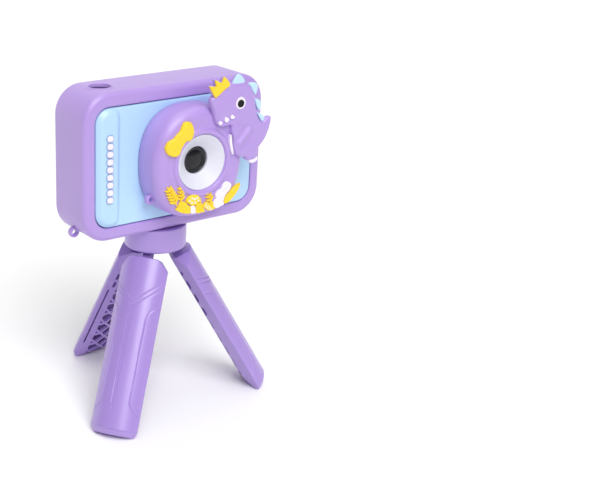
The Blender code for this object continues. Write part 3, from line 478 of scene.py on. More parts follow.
def make_sleeve():
    half = SLEEVE_D / 2
    section = filleted([(0.0, -half, 4.6), (FRONT_LIP, -half, 0.7), (FRONT_LIP, -POCKET_Y, 0.0),
                        (WALL, -POCKET_Y, 0.0), (WALL, POCKET_Y, 0.0), (REAR_LIP, POCKET_Y, 0.0),
                        (REAR_LIP, half, 1.0), (0.0, half, 4.2)], closed=True, steps=9)
    bm = loft([sleeve_loop(inset, y, 4.5, FRONT_LIP, 0.5) if y < 0
               else sleeve_loop(inset, y, 4.0, REAR_LIP, -0.4) for inset, y in section], closed=True)

    strap_at = (-ARC_X - STRAP_REACH * sin(STRAP_TURN), -ARC_Z - STRAP_REACH * cos(STRAP_TURN))
    bm = boolean(bm, turned_y(oval_section(1.85, 0.0, 0.75, 1.55), strap_at, 32), "UNION")

    cutters = turned_z([(SHUTTER_HOLE_R + 0.6, 30.0), (SHUTTER_HOLE_R + 0.6, 36.0)], SHUTTER, 48, False)
    turned_z([(SOCKET_R, -36.0), (SOCKET_R, -30.0)], SOCKET, 40, False, cutters)
    slot = filleted([(x, y, 0.8) for x, y in ((SLOT_NEAR, -SLOT_HALF), (SLOT_FAR, -SLOT_HALF),
                                              (SLOT_FAR, SLOT_HALF), (SLOT_NEAR, SLOT_HALF))],
                    closed=True, steps=4)
    loft([[(x, y, z) for x, y in slot] for z in (-34.0, -27.0)], False, cutters)
    bm = boolean(boolean(bm, cutters), slot_channel())

    lip = filleted([(SHUTTER_HOLE_R + wider, SLEEVE_H / 2 + higher, radius) for wider, higher, radius in
                    ((2.6, -0.9, 0.0), (2.2, -0.06, 1.5), (0.75, 0.46, 0.7), (0.0, 0.42, 0.45),
                     (0.05, -1.3, 0.2), (0.4, -1.6, 0.0), (1.2, -1.6, 0.0))], closed=True, steps=5)
    lip_mesh = turned_z(lip, SHUTTER, 72)
    for vert in lip_mesh.verts:
        past = max(0.0, -vert.co.x - ARC_X)
        vert.co.z -= SLEEVE_R - sqrt(SLEEVE_R ** 2 - past ** 2)
    # Dark ring below the shutter hole's wall, a piece that stands for the shadow deep in the hole: painted
    # shadow.
    hole_shadow = xz("4.98 33.45, 4.98 31.9, 5.6 31.9, 5.6 33.45")
    on_camera("shutter_hole_shadow", turned_z(hole_shadow, SHUTTER, 64), HOLE_SHADE, slot="lilac_silicone")
    on_camera("shutter_lip", lip_mesh, LILAC, sharp=60)
    on_camera("sleeve", bm, LILAC, "silicone_sleeve")


# ---- front cover

COVER_W, COVER_H, COVER_R = 87.3, 55.3, 7.2
FLANGE_Y, FACE_Y = -11.9, -13.4
PILLAR_W, PILLAR_RISE, PILLAR_R, PILLAR_RAMP = 12.6, 1.6, 4.6, 2.5
BEADS, BEAD_PITCH, BEAD_AT = 9, 3.56, (-37.4, -14.1)
# width, height, corner radius and y round the section of the shell behind the cover's face
SHELL = ((87.8, 55.8, 7.5, FLANGE_Y + 0.05), (87.8, 55.8, 7.5, -11.2), (95.0, 64.0, 10.7, -11.2),
         (95.0, 64.0, 10.7, -0.15), (91.8, 60.8, 9.1, -0.15), (91.8, 60.8, 9.1, -9.6),
         (84.0, 52.0, 6.0, -10.4), (84.0, 52.0, 6.0, FLANGE_Y + 0.05))


def make_front_cover():
    outline = rounded_box(COVER_W, COVER_H, COVER_R)
    middle_x = (PILLAR_W - COVER_W) / 2
    corners = (PILLAR_R, COVER_R, COVER_R, PILLAR_R)
    pillar = resampled(shifted(rounded_box(PILLAR_W, COVER_H, corners, 12), middle_x, 0.0), 0.7)

    def rise(x, z):
        points = np.stack([x, z], 1)
        depth = np.where(is_inside(points, pillar), edge_distance(points, pillar), 0.0)
        return PILLAR_RISE * soft_step(depth / PILLAR_RAMP)

    centre = np.array([middle_x, 0.0])
    seeds = [centre + (pillar - centre) * np.array([1 - k / (PILLAR_W / 2), 1 - k / (COVER_H / 2)])
             for k in (-0.4, 0.0, 0.4, 0.8, 1.2, 1.6, 2.0, 2.5)]
    bm = puffy(outline, FLANGE_Y, FLANGE_Y - FACE_Y, 0.6, rise, 0.8, 1.5, seeds=seeds)
    on_camera("front_shell", bm, BLUE, "front_cover", slot="blue_plastic")
    shell = [at_y(rounded_box(*size), y) for *size, y in SHELL]
    # The shell's dark navy, seen through the gap round the cover, is painted shade of the gap.
    on_camera("shell_rim", loft(shell, True), GAP_SHADE, slot="blue_plastic")

    # Each bead sits on a darker, slightly wider seat: its rim is partly outline, partly painted shadow
    # round the bead.
    outline_and_shadow, beads = bmesh.new(), bmesh.new()
    for row in range(BEADS):
        z = BEAD_AT[1] + BEAD_PITCH * row
        for part, grow, base, thick, edge in ((outline_and_shadow, 0.8, 0.02, 0.3, 0.15), (beads, 0.0, 0.25, 0.6, 0.45)):
            outline = shifted(rounded_box(3.1 + grow, 2.7 + grow, 1.0 + grow / 2, 6), BEAD_AT[0], z)
            puffy(outline, FACE_Y - PILLAR_RISE - base, thick, edge, None, 0.3, 0.7, part)
    on_camera("bead_outline_and_shadow", outline_and_shadow, RIM_SHADE, slot="blue_plastic")
    on_camera("grip_beads", beads, WHITE, "grip_strip", slot="white_plastic")


# ---- lens group

LENS = (3.4, 0.8)
HOOD = (3.3, 0.3)
HOOD_HALF = (24.9, 26.0)
HOOD_POWER = 2.4
HOOD_BASE_Y, HOOD_FRONT_Y = -13.7, -28.5
HOOD_FILLET, LIP_R, BORE_R, EYELET = 5.2, 17.2, 13.05, (-18.9, -15.4)
DISH_R, GLASS_R, GLASS_Y, DOME_R, BARREL_R = 12.9, 5.95, -23.0, 4.66, 7.9


def hood_loop(inset, y):
    return at_y(superellipse(HOOD_HALF[0] - inset, HOOD_HALF[1] - inset, HOOD_POWER), y, HOOD)


def make_hood():
    loops = [hood_loop(0.35, HOOD_BASE_Y), hood_loop(0.0, HOOD_BASE_Y - 0.5), hood_loop(0.1, -19.0)]
    for step in range(13):
        angle = radians(90.0 * step / 12)
        loops.append(hood_loop(0.3 + HOOD_FILLET * (1 - cos(angle)),
                               HOOD_FRONT_Y + HOOD_FILLET * (1 - sin(angle))))
    rim = np.array(superellipse(*(half - HOOD_FILLET - 0.3 for half in HOOD_HALF), HOOD_POWER)) + HOOD
    lip = np.array(circle(LIP_R, 144)) + LENS
    for step in range(1, 7):
        t = step / 6
        loops.append(at_y(rim * (1 - t) + lip * t, HOOD_FRONT_Y + 0.25 * sin(pi * t) ** 2))
    profile = filleted([(r, HOOD_FRONT_Y + y, radius) for r, y, radius in
                        ((LIP_R, 0.0, 0), (16.1, 0.05, 0.8), (15.3, -0.95, 0.9), (13.7, -0.85, 0.8),
                         (BORE_R, 0.5, 0.3), (BORE_R, 2.2, 0))])
    loops += [at_y(circle(r, 144), y, LENS) for r, y in profile[1:]]
    loops += [hood_loop(7.0, HOOD_FRONT_Y + 2.2), hood_loop(2.2, HOOD_FRONT_Y + 7.0),
              hood_loop(2.2, HOOD_BASE_Y)]
    bm = loft(loops, closed=True)
    bm = boolean(bm, turned_y(oval_section(1.7, -19.4, 0.85, 1.5), EYELET, 32), "UNION")
    on_camera("hood", bm, LILAC, "lens_hood")


def make_lens():
    wall = DISH_R + 0.12
    funnel = filleted([(wall, HOOD_BASE_Y, 0), (wall, -28.35, 0.2), (DISH_R - 0.5, -28.4, 0.4),
                       (GLASS_R + 0.5, GLASS_Y - 0.7, 0.5), (GLASS_R + 0.5, -20.6, 0), (BARREL_R, -20.6, 0),
                       (BARREL_R, -22.0, 0), (wall - 1.3, -25.8, 0), (wall - 1.3, HOOD_BASE_Y, 0)],
                      closed=True, steps=5)
    on_camera("dish", turned_y(funnel, LENS, 120), IVORY, "lens_dish")
    ring = filleted([(GLASS_R, -21.0, 0), (GLASS_R, GLASS_Y - 0.3, 0.3), (5.55, GLASS_Y - 0.3, 0.2),
                     (5.2, GLASS_Y + 0.3, 0.1), (4.7, GLASS_Y + 0.4, 0.1), (4.6, -21.0, 0)],
                    closed=True, steps=4)
    on_camera("lens_rim", turned_y(ring, LENS, 96), RING, slot="black_gloss")
    dome = [(0.05, GLASS_Y - 0.35)]
    for k in range(1, 13):
        radius = DOME_R * k / 12
        dome.append((radius, GLASS_Y - 0.35 + 0.75 * (radius / DOME_R) ** 2))
    dome += [(DOME_R, -21.2), (0.05, -21.2)]
    on_camera("glass", turned_y(dome, LENS, 96), GLASS, "lens_glass", slot="black_gloss")


# ---- figures on the hood

RELIEF_Y, SUNK = HOOD_FRONT_Y - 0.02, 0.4
FIGURE_Y, FIGURE_THICK = HOOD_FRONT_Y - 0.1, 2.25
DINO = xz("7.3 31.2, 5.8 30, 5.9 28.5, 6.7 26.4, 7.6 23.8, 8.4 21.2, 9.3 19, 10.3 17.8, 12.1 16.6, "
          "14.7 16.4, 17.3 16.5, 18.3 16.1, 18.4 13.8, 19.2 11.5, 19.7 9.3, 19.9 7.1, 20.4 4.5, "
          "21.4 2.1, 23.5 0.8, 26.2 0.4, 27.2 -0.9, 29 -1.7, 30.9 -2.2, 33.1 -1.5, 33.8 -0.5, 33.8 1.8, "
          "33.9 3, 35.3 4.3, 37.7 6.8, 39.7 10.2, 41.1 14.4, 41.4 17.3, 40.2 18, 38 17.5, 36.2 16.3, "
          "35.2 16.6, 33.4 19, 32.4 21.7, 31.9 23.9, 31.4 26.9, 30.5 29.8, 29 32.5, 27.3 34.6, "
          "25.5 35.9, 23.3 36.1, 20.7 35.9, 18 36.2, 15.9 36.1, 12.9 34.2, 9.6 31.9")
CROWN = xz("4.5 36.2, 6.2 35.8, 8.2 35.7, 7.7 37.4, 7.7 38.6, 9.6 37.7, 11.3 36.9, 11.9 38.4, 12.7 39.5, "
           "14.3 38.2, 15.6 36.5, 15.6 35.1, 13 33.8, 8.5 30.7, 7.3 31.4, 5.7 33.8")
SPIKES = [xz("17.8 35.8, 19.1 38.2, 20.8 39.8, 22.6 39, 24.4 37.1, 24.5 35.5, 21.2 35.3"),
          xz("27 34.6, 29.2 35.1, 31.5 34.5, 32.4 33, 32.1 30.9, 31.4 29, 29.9 30.6, 28.2 33.2"),
          xz("31.2 27.2, 33.5 26.7, 34.9 25, 34.7 23.2, 33.9 21.5, 32.3 23.7"),
          xz("32.8 20.6, 35.1 19.8, 37.2 18, 36.8 16.6, 35.9 16, 34.1 18.3")]
BOW = xz("-5.5 21.1, -4 20.5, -2.9 18.8, -2.3 16.8, -2.4 15, -3.2 13, -4.7 12.1, -5.9 12.3, -7 11.7, "
         "-7.9 10.4, -8.7 9.6, -9.1 8.3, -9.9 6.7, -11.5 6, -13.3 6.1, -15.5 7.1, -16.9 8.7, -17.4 10.3, "
         "-17 11.7, -15.7 13.2, -13.9 14, -12.7 14.4, -12 15.4, -10.6 16.4, -9.5 17.5, -8.9 18.9, "
         "-8 20.3, -7 21")
BELLY = xz("18.4 12.2, 18 11.6, 17.7 9.9, 17.9 7.6, 18.6 5, 19.5 2.9, 20 2.3, 20.4 2.6, 20.1 4.7, "
           "19.5 7.3, 19.2 9.2, 18.9 11.1, 18.7 11.9")
# line, radius and height of each: arm, its two sides, thigh, snout, cheek, mouth, neck
DINO_RIDGES = (("22.7 7.4, 25.4 10.3, 28.4 13.5", 2.1, 0.95),
               ("20.6 8.8, 24.2 13, 26.8 15.6", 1.2, -0.35), ("24 5.4, 27.4 8, 30.8 12.6", 1.2, -0.35),
               ("30.6 5, 31.2 1.6", 3.2, 0.45), ("12 23.4, 13.8 24.6", 5.0, 0.35),
               ("19 27.6, 24.6 27.4", 7.5, 0.35), ("9.2 17.9, 12 18.2, 15.4 19.2, 18.8 20.2", 1.0, -0.6),
               ("18.2 15.4, 20.6 16.6, 23.2 17.2", 1.6, -0.35))


def relief(outline, thick, edge, bumps=None, step=0.3, fill=0.7, bm=None, sunk=SUNK):
    """Low figure on the hood's face, let into it by sunk."""
    return puffy(outline, RELIEF_Y, thick, edge, bumps, step, fill, bm, sunk=sunk)


def form_of(ridges):
    """Soft modelling from a table of ridges and grooves: line, radius and height of each."""
    lines = [(xz(text), radius, height) for text, radius, height in ridges]
    return lambda x, z: sum(ridge(x, z, *line) for line in lines)


def make_figure():
    bm = puffy(smoothed(DINO, 4), FIGURE_Y, FIGURE_THICK, 1.75, form_of(DINO_RIDGES), 0.4, 0.6, sunk=0.3)
    on_camera("figure", bm, LILAC, "dino_figure")
    front = FIGURE_Y - FIGURE_THICK
    backing = puffy(smoothed(CROWN, 3), FIGURE_Y, 1.65, 0.3, None, 0.35, 0.9)
    for outline in SPIKES:
        puffy(smoothed(outline, 4), FIGURE_Y, 1.0, 0.3, None, 0.35, 0.9, backing)
    on_camera("figure_backing", backing, LILAC)
    crown = puffy(smoothed(CROWN, 3), FIGURE_Y - 1.6, 0.95, 0.45, None, 0.3, 0.8)
    on_camera("crown_cap", crown, YELLOW, "crown")
    for number, outline in enumerate(SPIKES, 1):
        spike = puffy(smoothed(outline, 4), FIGURE_Y - 0.95, 0.85, 0.5, None, 0.3, 0.8)
        on_camera(f"spike_{number}", spike, SKY, f"back_spike_{number}")
    eye = shifted(superellipse(2.75, 2.85, 2.0, 72), 22.1, 26.6)
    on_camera("eye_white", puffy(eye, front + 0.1, 0.72, 0.35, None, 0.25, 0.7), WHITE, "dino_eye")
    pupil = puffy(shifted(circle(1.75), 21.9, 26.5), front - 0.6, 0.5, 0.3, None, 0.2, 0.6)
    on_camera("eye_pupil", pupil, INK, "dino_pupil", slot="black_gloss")
    teeth = (xz("10 18.9, 11.3 19.7, 12.3 18.6, 11.1 17.7"),
             xz("13.5 21, 14.4 21.1, 16.1 19.7, 14.7 18.5, 13.6 19.2"),
             xz("16.8 20.8, 17.7 21.8, 19.4 20.4, 17.9 19.6, 16.9 20.2"))
    for number, tooth in enumerate(teeth, 1):
        bm = puffy(smoothed(tooth, 4), front + 0.25, 0.62, 0.35, None, 0.2, 0.5)
        on_camera(f"milk_tooth_{number}", bm, WHITE, f"tooth_{number}")
    toes = xz("29.2 -1.4, 31.3 -1.1, 33.6 -0.4, 34.1 -1.2, 33.9 -2.2, 32.2 -3, 30.5 -3.1, 29.4 -2.3")
    on_camera("foot_toes", puffy(smoothed(toes), FIGURE_Y, 2.2, 0.6, None, 0.3, 0.7), WHITE, "toes")
    on_camera("belly_inlay", relief(smoothed(BELLY), 1.5, 0.45, None, 0.25, 0.6), WHITE, "belly")


def leaflet(root, angle, length, width):
    """Pointed oval that starts at root and runs along angle."""
    c, s = cos(angle), sin(angle)
    shape = xz("0 0, 0.3 0.44, 0.6 0.48, 1 0, 0.6 -0.48, 0.3 -0.44")
    return smoothed([(root[0] + c * u * length - s * v * width, root[1] + s * u * length + c * v * width)
                     for u, v in shape], 3)


def fern(root, tip, pairs, reach, bm):
    """Frond: a thin stem with pairs of plump leaflets and one at the tip."""
    root, tip = Vector(root), Vector(tip)
    span = tip - root
    angle = atan2(span.y, span.x)
    across = Vector((-span.y, span.x)).normalized() * 0.3
    stem = [tuple(root - across), tuple(tip - across * 0.4), tuple(tip + across * 0.4),
            tuple(root + across)]
    relief(stem, 0.55, 0.2, fill=0.8, bm=bm)
    leaflets = []
    for i in range(pairs):
        t = 0.16 + 0.66 * i / max(pairs - 1, 1)
        size = reach * (1 - 0.3 * t)
        at = root + span * t
        for side in (-1, 1):
            leaflets.append(leaflet(at, angle - side * radians(48), size, 0.36 * size))
    for outline in leaflets + [leaflet(root + span * 0.84, angle, reach * 0.75, 1.1)]:
        relief(outline, 0.78, 0.32, step=0.25, bm=bm)


def make_plants():
    bm = bmesh.new()
    fern((-10.2, -17.4), (-15.3, -8.4), 5, 3.7, bm)
    fern((-7.6, -16.4), (-8.8, -8.7), 4, 2.9, bm)
    fern((9.3, -19.0), (6.6, -13.8), 3, 2.9, bm)
    beds = (xz("-10.9 -19.1, -9.7 -18, -9 -16, -7.9 -15.4, -6.7 -16, -5.4 -16.6, -3.8 -18.5, -2.9 -18.9, "
               "-2.9 -22.1, -4.9 -22, -8.4 -20.9"),
            xz("0.3 -19.1, 1.2 -17.8, 2.4 -18.1, 3.7 -18.7, 4.7 -19.4, 4.6 -20.8, 5.4 -22.9, 3.9 -22.9, "
               "0.4 -22.6"),
            xz("7.6 -22.4, 8.4 -20.6, 8.2 -19, 9.4 -18.4, 10.2 -19.4, 10.4 -21, 11.6 -22.2, 9.6 -22.7"))
    veins = ("-10 -19.4, -8.8 -17.6, -8 -16.2", "-8.6 -20.6, -7.4 -18.6, -6.6 -16.8",
             "-6.6 -21.4, -5.8 -19.4, -4.8 -17.8", "-4.6 -21.6, -3.8 -19.6", "1.3 -22.2, 1.5 -19.2",
             "2.6 -22.4, 2.9 -19.4", "3.9 -22.4, 4 -20", "9.2 -21.8, 9.2 -19.6")
    bed_form = form_of([(line, 0.6, -0.55) for line in veins])
    for bed in beds:
        relief(smoothed(bed, 4), 0.85, 0.35, bed_form, fill=0.5, bm=bm)
    bush = xz("4.7 -20, 5.1 -18.7, 6.2 -18.2, 7.5 -18.7, 9.2 -20.5, 10.6 -22.2, 9.3 -22.8, 7.1 -22.5, "
              "5.1 -21.1")
    relief(smoothed(bush, 4), 0.95, 0.45, bm=bm)
    cap = xz("-5.4 -16.2, -4.9 -14.8, -3.4 -13.6, -1.2 -13.2, 1 -14, 2.7 -15.9, 3.2 -18.4, 1.8 -17.7, "
             "-0.1 -18.6, -2.2 -18.6, -3.8 -17.4")
    relief(smoothed(cap, 5), 1.1, 0.6, fill=0.8, bm=bm)
    on_camera("plants", bm, YELLOW, "foliage")

    stem = xz("-2.6 -18.7, -0.4 -19.1, -0.1 -20.7, 0.2 -22.4, -1.3 -22.6, -2.6 -22.2, -2.7 -20.3")
    bm = relief(smoothed(stem, 4), 0.95, 0.35)
    for x, z, r in ((-3.7, -15.9, 0.5), (-2.4, -14.9, 0.5), (-1.0, -15.6, 0.6), (0.5, -15.2, 0.5),
                    (-2.5, -17.0, 0.5), (-0.6, -17.3, 0.5), (1.3, -16.6, 0.5), (-1.1, -14.0, 0.35)):
        puffy(shifted(circle(r, 16), x, z), RELIEF_Y - 0.98, 0.3, 0.2, None, 0.2, 0.5, bm)
    for k in range(4):
        at = (6.1 + 1.05 * k, -18.7 - 0.95 * k)
        line = leaflet(at, radians(-118), 2.6 - 0.3 * k, 0.42)
        puffy(line, RELIEF_Y - 0.8, 0.35, 0.15, None, 0.25, 0.6, bm)
    on_camera("stem_and_dots", bm, WHITE, "mushroom_stem")

    plume = xz("10.9 -21.9, 10 -20.4, 10.4 -18.7, 11.5 -17.6, 11.2 -15.7, 12.4 -14, 14.3 -13.3, "
               "14.9 -12.3, 15.4 -11.2, 17.6 -10.2, 19.8 -11.4, 20.2 -12.9, 19.3 -14.6, 17.6 -16, "
               "16.5 -17.7, 15.9 -19.5, 16.3 -21.2, 14.1 -21.9, 12.5 -22.3")
    folds = ("11.4 -20.8, 12.6 -19.4, 12.4 -18, 13.4 -16.6", "13.2 -21.4, 14.2 -19.4, 14 -17.4",
             "15.2 -20.6, 15 -18.6", "14.8 -13.6, 15.4 -15.4, 14.6 -16.4",
             "16.6 -11.4, 16.6 -13.2, 17.4 -14.6", "18.4 -11.4, 18.2 -13.2")
    fold_form = form_of([(line, 0.6, -0.5) for line in folds])
    bm = relief(smoothed(plume, 5), 1.05, 0.5, fold_form, fill=0.35, sunk=1.0)
    on_camera("white_plume", bm, WHITE, "cloud_flower")

    leaf = xz("16.3 -20.6, 16.5 -18.8, 18.4 -16.7, 20.9 -14.6, 23.4 -12.9, 25.5 -12.4, 25.2 -14.2, "
              "23.3 -16.9, 21.4 -18.8, 19.5 -20.4, 17.6 -21")
    vein_form = form_of([("17.2 -20.2, 20.4 -17, 24.2 -13.6", 0.7, -0.25)])
    on_camera("yellow_leaf", relief(smoothed(leaf, 4), 0.85, 0.4, vein_form, fill=0.5), YELLOW, "long_leaf")

    knot_form = form_of([("-8.8 9.6, -7.6 13, -6.4 12.2", 1.3, -0.4),
                         ("-11.6 15, -9.8 13, -9 10.4", 1.1, -0.35),
                         ("-6 18.4, -4.4 15.6", 2.2, 0.3), ("-14.4 9.2, -12.4 10.4", 2.2, 0.3)])
    on_camera("ribbon", relief(smoothed(BOW, 4), 1.45, 0.8, knot_form, 0.35, 0.6), YELLOW, "bow")


# ---- back of the camera

def teardrop(half_w, half_h, towards, pull, count=96):
    """Oval whose rim is drawn out towards one direction."""
    points = []
    for i in range(count):
        angle = 2 * pi * i / count
        reach = 1 + pull * max(0.0, cos(angle - towards)) ** 6
        points.append((half_w * reach * cos(angle), half_h * reach * sin(angle)))
    return points


PAD_X, PAD_Z, PAD_RISE, PAD_REACH, PAD_SKEW = -36.4, -6.4, 8.6, 4.2, 0.2
KEYS = {"menu": ("menu_button", circle(4.25), (-34.2, 14.8)),
        "pad_up": ("pad_up", teardrop(3.7, 3.7, radians(270), 0.36), (PAD_X, PAD_Z + PAD_RISE)),
        "pad_down": ("pad_down", teardrop(3.7, 3.7, radians(90), 0.36), (PAD_X, PAD_Z - PAD_RISE)),
        "pad_left": ("pad_left", teardrop(3.0, 4.0, pi, 0.12), (PAD_X + PAD_REACH, PAD_Z + PAD_SKEW)),
        "pad_right": ("pad_right", teardrop(3.0, 4.0, 0.0, 0.12), (PAD_X - PAD_REACH, PAD_Z - PAD_SKEW))}
WELL, WELL_W, WELL_H, WELL_R = (37.3, 21.4), 9.4, 11.7, 2.5
SELFIE = (-0.6, 25.8)
DISPLAY_HALF = (24.48 * MM, 18.36 * MM)


def screen_material():
    """Black gloss pane whose display area shows through a little paler, with a soft edge."""
    made = surface("rear_pane", linear(30, 29, 35), 0.2, vary=0.04, bump=0.0, rough_vary=0.03,
                   Specular_IOR_Level=0.14)
    nodes, links = made.node_tree.nodes, made.node_tree.links
    shader = nodes["Principled BSDF"]
    coords = nodes.new("ShaderNodeTexCoord")
    split = nodes.new("ShaderNodeSeparateXYZ")
    links.new(coords.outputs["Object"], split.inputs["Vector"])
    masks = []
    for axis, middle, half in (("X", ORIGIN.x, DISPLAY_HALF[0]), ("Z", ORIGIN.z, DISPLAY_HALF[1])):
        away = nodes.new("ShaderNodeMath")
        away.operation = "SUBTRACT"
        away.inputs[1].default_value = middle
        links.new(split.outputs[axis], away.inputs[0])
        size = nodes.new("ShaderNodeMath")
        size.operation = "ABSOLUTE"
        links.new(away.outputs[0], size.inputs[0])
        fade = nodes.new("ShaderNodeMapRange")
        put(fade, From_Min=half + 0.2 * MM, From_Max=half - 0.9 * MM)
        links.new(size.outputs[0], fade.inputs["Value"])
        masks.append(fade.outputs["Result"])
    both = nodes.new("ShaderNodeMath")
    both.operation = "MULTIPLY"
    links.new(masks[0], both.inputs[0])
    links.new(masks[1], both.inputs[1])
    before = shader.inputs["Base Color"].links[0].from_socket
    mix = nodes.new("ShaderNodeMix")
    mix.data_type = "RGBA"
    mix.inputs[7].default_value = (*linear(78, 77, 90), 1.0)
    links.new(both.outputs[0], mix.inputs[0])
    links.new(before, mix.inputs[6])
    links.new(mix.outputs[2], shader.inputs["Base Color"])
    return made


def make_back():
    pane = puffy(rounded_box(87.4, 57.2, 7.2), PANEL_Y, 1.2, 0.3, None, 1.0, 6.0, facing=1)
    cutters = bmesh.new()
    holes = [([(x * 1.08, z * 1.08) for x, z in outline], centre) for _, outline, centre in KEYS.values()]
    holes += [(rounded_box(WELL_W, WELL_H, WELL_R), WELL), (circle(1.7, 32), SELFIE)]
    for outline, centre in holes:
        loft([at_y(outline, y, centre) for y in (PANEL_Y - 1, PANEL_Y + 3)], False, cutters)
    on_camera("rear_pane", boolean(pane, cutters), screen_material(), "rear_window", slot="black_gloss")
    eye = [(0.05, PANEL_Y + 1.12), (0.8, PANEL_Y + 1.1), (1.3, PANEL_Y + 0.95), (1.4, PANEL_Y + 0.2),
           (0.05, PANEL_Y + 0.2)]
    paint = surface("selfie_glass", linear(74, 74, 80), 0.2, vary=0.05)
    on_camera("selfie_window", turned_y(eye, SELFIE, 32), paint, "selfie_lens", slot="black_gloss")
    cup = [at_y(rounded_box(WELL_W + grow, WELL_H + grow, max(WELL_R + grow / 2, 0.9), 10), y, WELL)
           for grow, y in ((1.2, 4.4), (1.2, 11.1), (-0.12, 11.2), (-0.12, 12.35), (-0.45, 12.55),
                           (-0.9, 12.4), (-1.1, 11.6), (-1.3, 6.6), (-1.9, 5.9), (-3.4, 5.6))]
    on_camera("well_lining", loft(cup), LILAC, "viewfinder_cup", sharp=60)
    # Darker floor pad in the well: partly its own darker colour, partly painted shade of the recess.
    pad = puffy(shifted(rounded_box(WELL_W - 1.5, WELL_H - 1.5, 1.8), *WELL), 5.7, 0.75, 0.4, None, 0.4,
                1.0, facing=1)
    on_camera("well_floor", pad, DUSK, slot="lilac_silicone")
    for key, (node, outline, centre) in KEYS.items():
        bm = puffy(shifted(outline, *centre), 9.2, 4.5, 1.3, None, 0.35, 0.8, facing=1)
        loft([at_y([(x * 0.5, z * 0.5) for x, z in outline], y, centre) for y in (6.1, 9.3)], False, bm)
        piece(f"{key}_cap", bm, CAMERA_FRAME, KEYCAP, f"{key}_key", [node])
    profile = filleted([(0.05, 28.0, 0), (3.3, 28.0, 0), (3.3, 30.6, 0), (SHUTTER_R, 30.6, 0.1),
                        (SHUTTER_R, SHUTTER_TOP - 0.2, 0.7), (0.05, SHUTTER_TOP, 0)], steps=5)
    piece("shutter_cap", turned_z(profile, SHUTTER, 64, False), CAMERA_FRAME, KEYCAP, "shutter",
          ["shutter_button"])


# ---- tripod

LEG_R, LEG_INNER = 14.12, 2.7
LEG_TOP, LEG_BOTTOM = -8.0, -92.2
HOLLOW_R, HOLLOW_INNER, HOLLOW_THIN = 12.3, 4.1, 1.4
LATTICE_Y, LATTICE_Z, RIB, LATTICE_TOP = 8.8, 8.4, 1.15, -16.5
GROOVE_DEPTH, GROOVE_HALF = 0.32, 0.42
HALF_ANGLE = radians(58.3)
PANEL_EDGE = xz("60 -29.4, 41 -31.7, 33 -33.4, 29 -36.9, 28 -76, 32 -78.6, 43 -80.6, 60 -83.2")
GROOVES = [xz("-60 -22.4, -46 -24.4, -23 -27.6, -6 -30.2, 0 -30.8, 6 -30, 15 -28.1, 35 -24.3, 60 -20"),
           xz("-60 -19.8, -26 -25, -6 -27.8, 0 -28.2, 6 -27.4, 13 -25.9, 33 -21.9, 60 -17.2"),
           [(-1.6, -33.0), (-2.0, -80.0)], [(-6.4, -34.4), (-6.6, -77.0)],
           PANEL_EDGE, [(-a, z) for a, z in PANEL_EDGE], [(-60, -89.6), (60, -89.6)]]


def sector(radius, inner, steps, rounding, thin=0.0):
    """Third of a round handle, as (x, y) points; thin moves its flat sides inward."""
    half = HALF_ANGLE
    turn = asin((rounding + thin) / (radius - rounding))
    end = half - turn
    arc = [(radius, end * (2 * i / steps - 1)) for i in range(steps + 1)]
    points = [(r * cos(a), r * sin(a)) for r, a in arc]
    centre = ((radius - rounding) * cos(end), (radius - rounding) * sin(end))
    corner = [(centre[0] + rounding * cos(a), centre[1] + rounding * sin(a))
              for a in (end + (half + pi / 2 - end) * k / 4 for k in range(1, 5))]
    half_inner = inner * tan(half) - thin / cos(half)
    lower = [(inner, half_inner - 0.3), (inner, 0.3 - half_inner)]
    flat = [(inner + 0.16, half_inner + 0.1)]
    mirrored = [(x, -y) for x, y in reversed(corner)]
    return points + corner + flat + lower + [(flat[0][0], -flat[0][1])] + mirrored, len(points)


def cut_away(bm, point, normal):
    """Removes what lies on the normal's side of a plane and closes the cut."""
    geometry = list(bm.verts) + list(bm.edges) + list(bm.faces)
    bmesh.ops.bisect_plane(bm, geom=geometry, plane_co=point, plane_no=normal, clear_outer=True, dist=1e-5)
    edges = [e for e in bm.edges if e.is_boundary]
    bmesh.ops.holes_fill(bm, edges=edges, sides=0)
    bmesh.ops.recalc_face_normals(bm, faces=bm.faces)


def trim_leg(bm, wall):
    """Cuts the leg's top corners and its slanted toe; wall keeps the hollow inside clear of them."""
    for side in (-1, 1):
        cut_away(bm, Vector((0.0, side * (6.6 - wall * 0.7), LEG_TOP + 0.4 - wall * 0.7)),
                 Vector((0.0, side, 1.0)).normalized())
    slope = Vector((5.9 - LEG_INNER, 0.0, LEG_BOTTOM + 84.0)).normalized()
    out = Vector((slope.z, 0.0, -slope.x))
    cut_away(bm, Vector((LEG_INNER, 0.0, -84.0)) - out * wall, out)


def lattice():
    """Diamond openings between crossing ribs, clipped to the leg's inner side."""
    half_y, half_z = LATTICE_Y / 2, LATTICE_Z / 2
    shrink = 1 - RIB / 2 * hypot(1 / half_y, 1 / half_z)
    edge_y = 6.6
    cells = []
    for row in range(-1, 20):
        for column in range(-2, 3):
            if (row + column) % 2:
                continue
            cy, cz = column * half_y, -20.0 - row * half_z
            cell = [(cy + half_y * shrink, cz), (cy, cz + half_z * shrink), (cy - half_y * shrink, cz),
                    (cy, cz - half_z * shrink)]
            far_edge = 6.2 if cz > -46.0 else 5.0
            for keep in (lambda p: edge_y - p[0], lambda p: p[0] + far_edge, lambda p: LATTICE_TOP - p[1],
                         lambda p: p[1] + 90.2):
                cell = clipped(cell, keep)
                if not cell:
                    break
            if cell and polygon_area(cell) > 1.2:
                cells.append(cell)
    return cells


def clipped(polygon, keep):
    out = []
    for i, p in enumerate(polygon):
        q = polygon[(i + 1) % len(polygon)]
        a, b = keep(p), keep(q)
        if a >= 0:
            out.append(p)
        if (a >= 0) != (b >= 0):
            t = a / (a - b)
            out.append((p[0] + (q[0] - p[0]) * t, p[1] + (q[1] - p[1]) * t))
    return out if len(out) > 2 else []


def polygon_area(points):
    return abs(sum(a[0] * b[1] - b[0] * a[1] for a, b in zip(points, points[1:] + points[:1]))) / 2


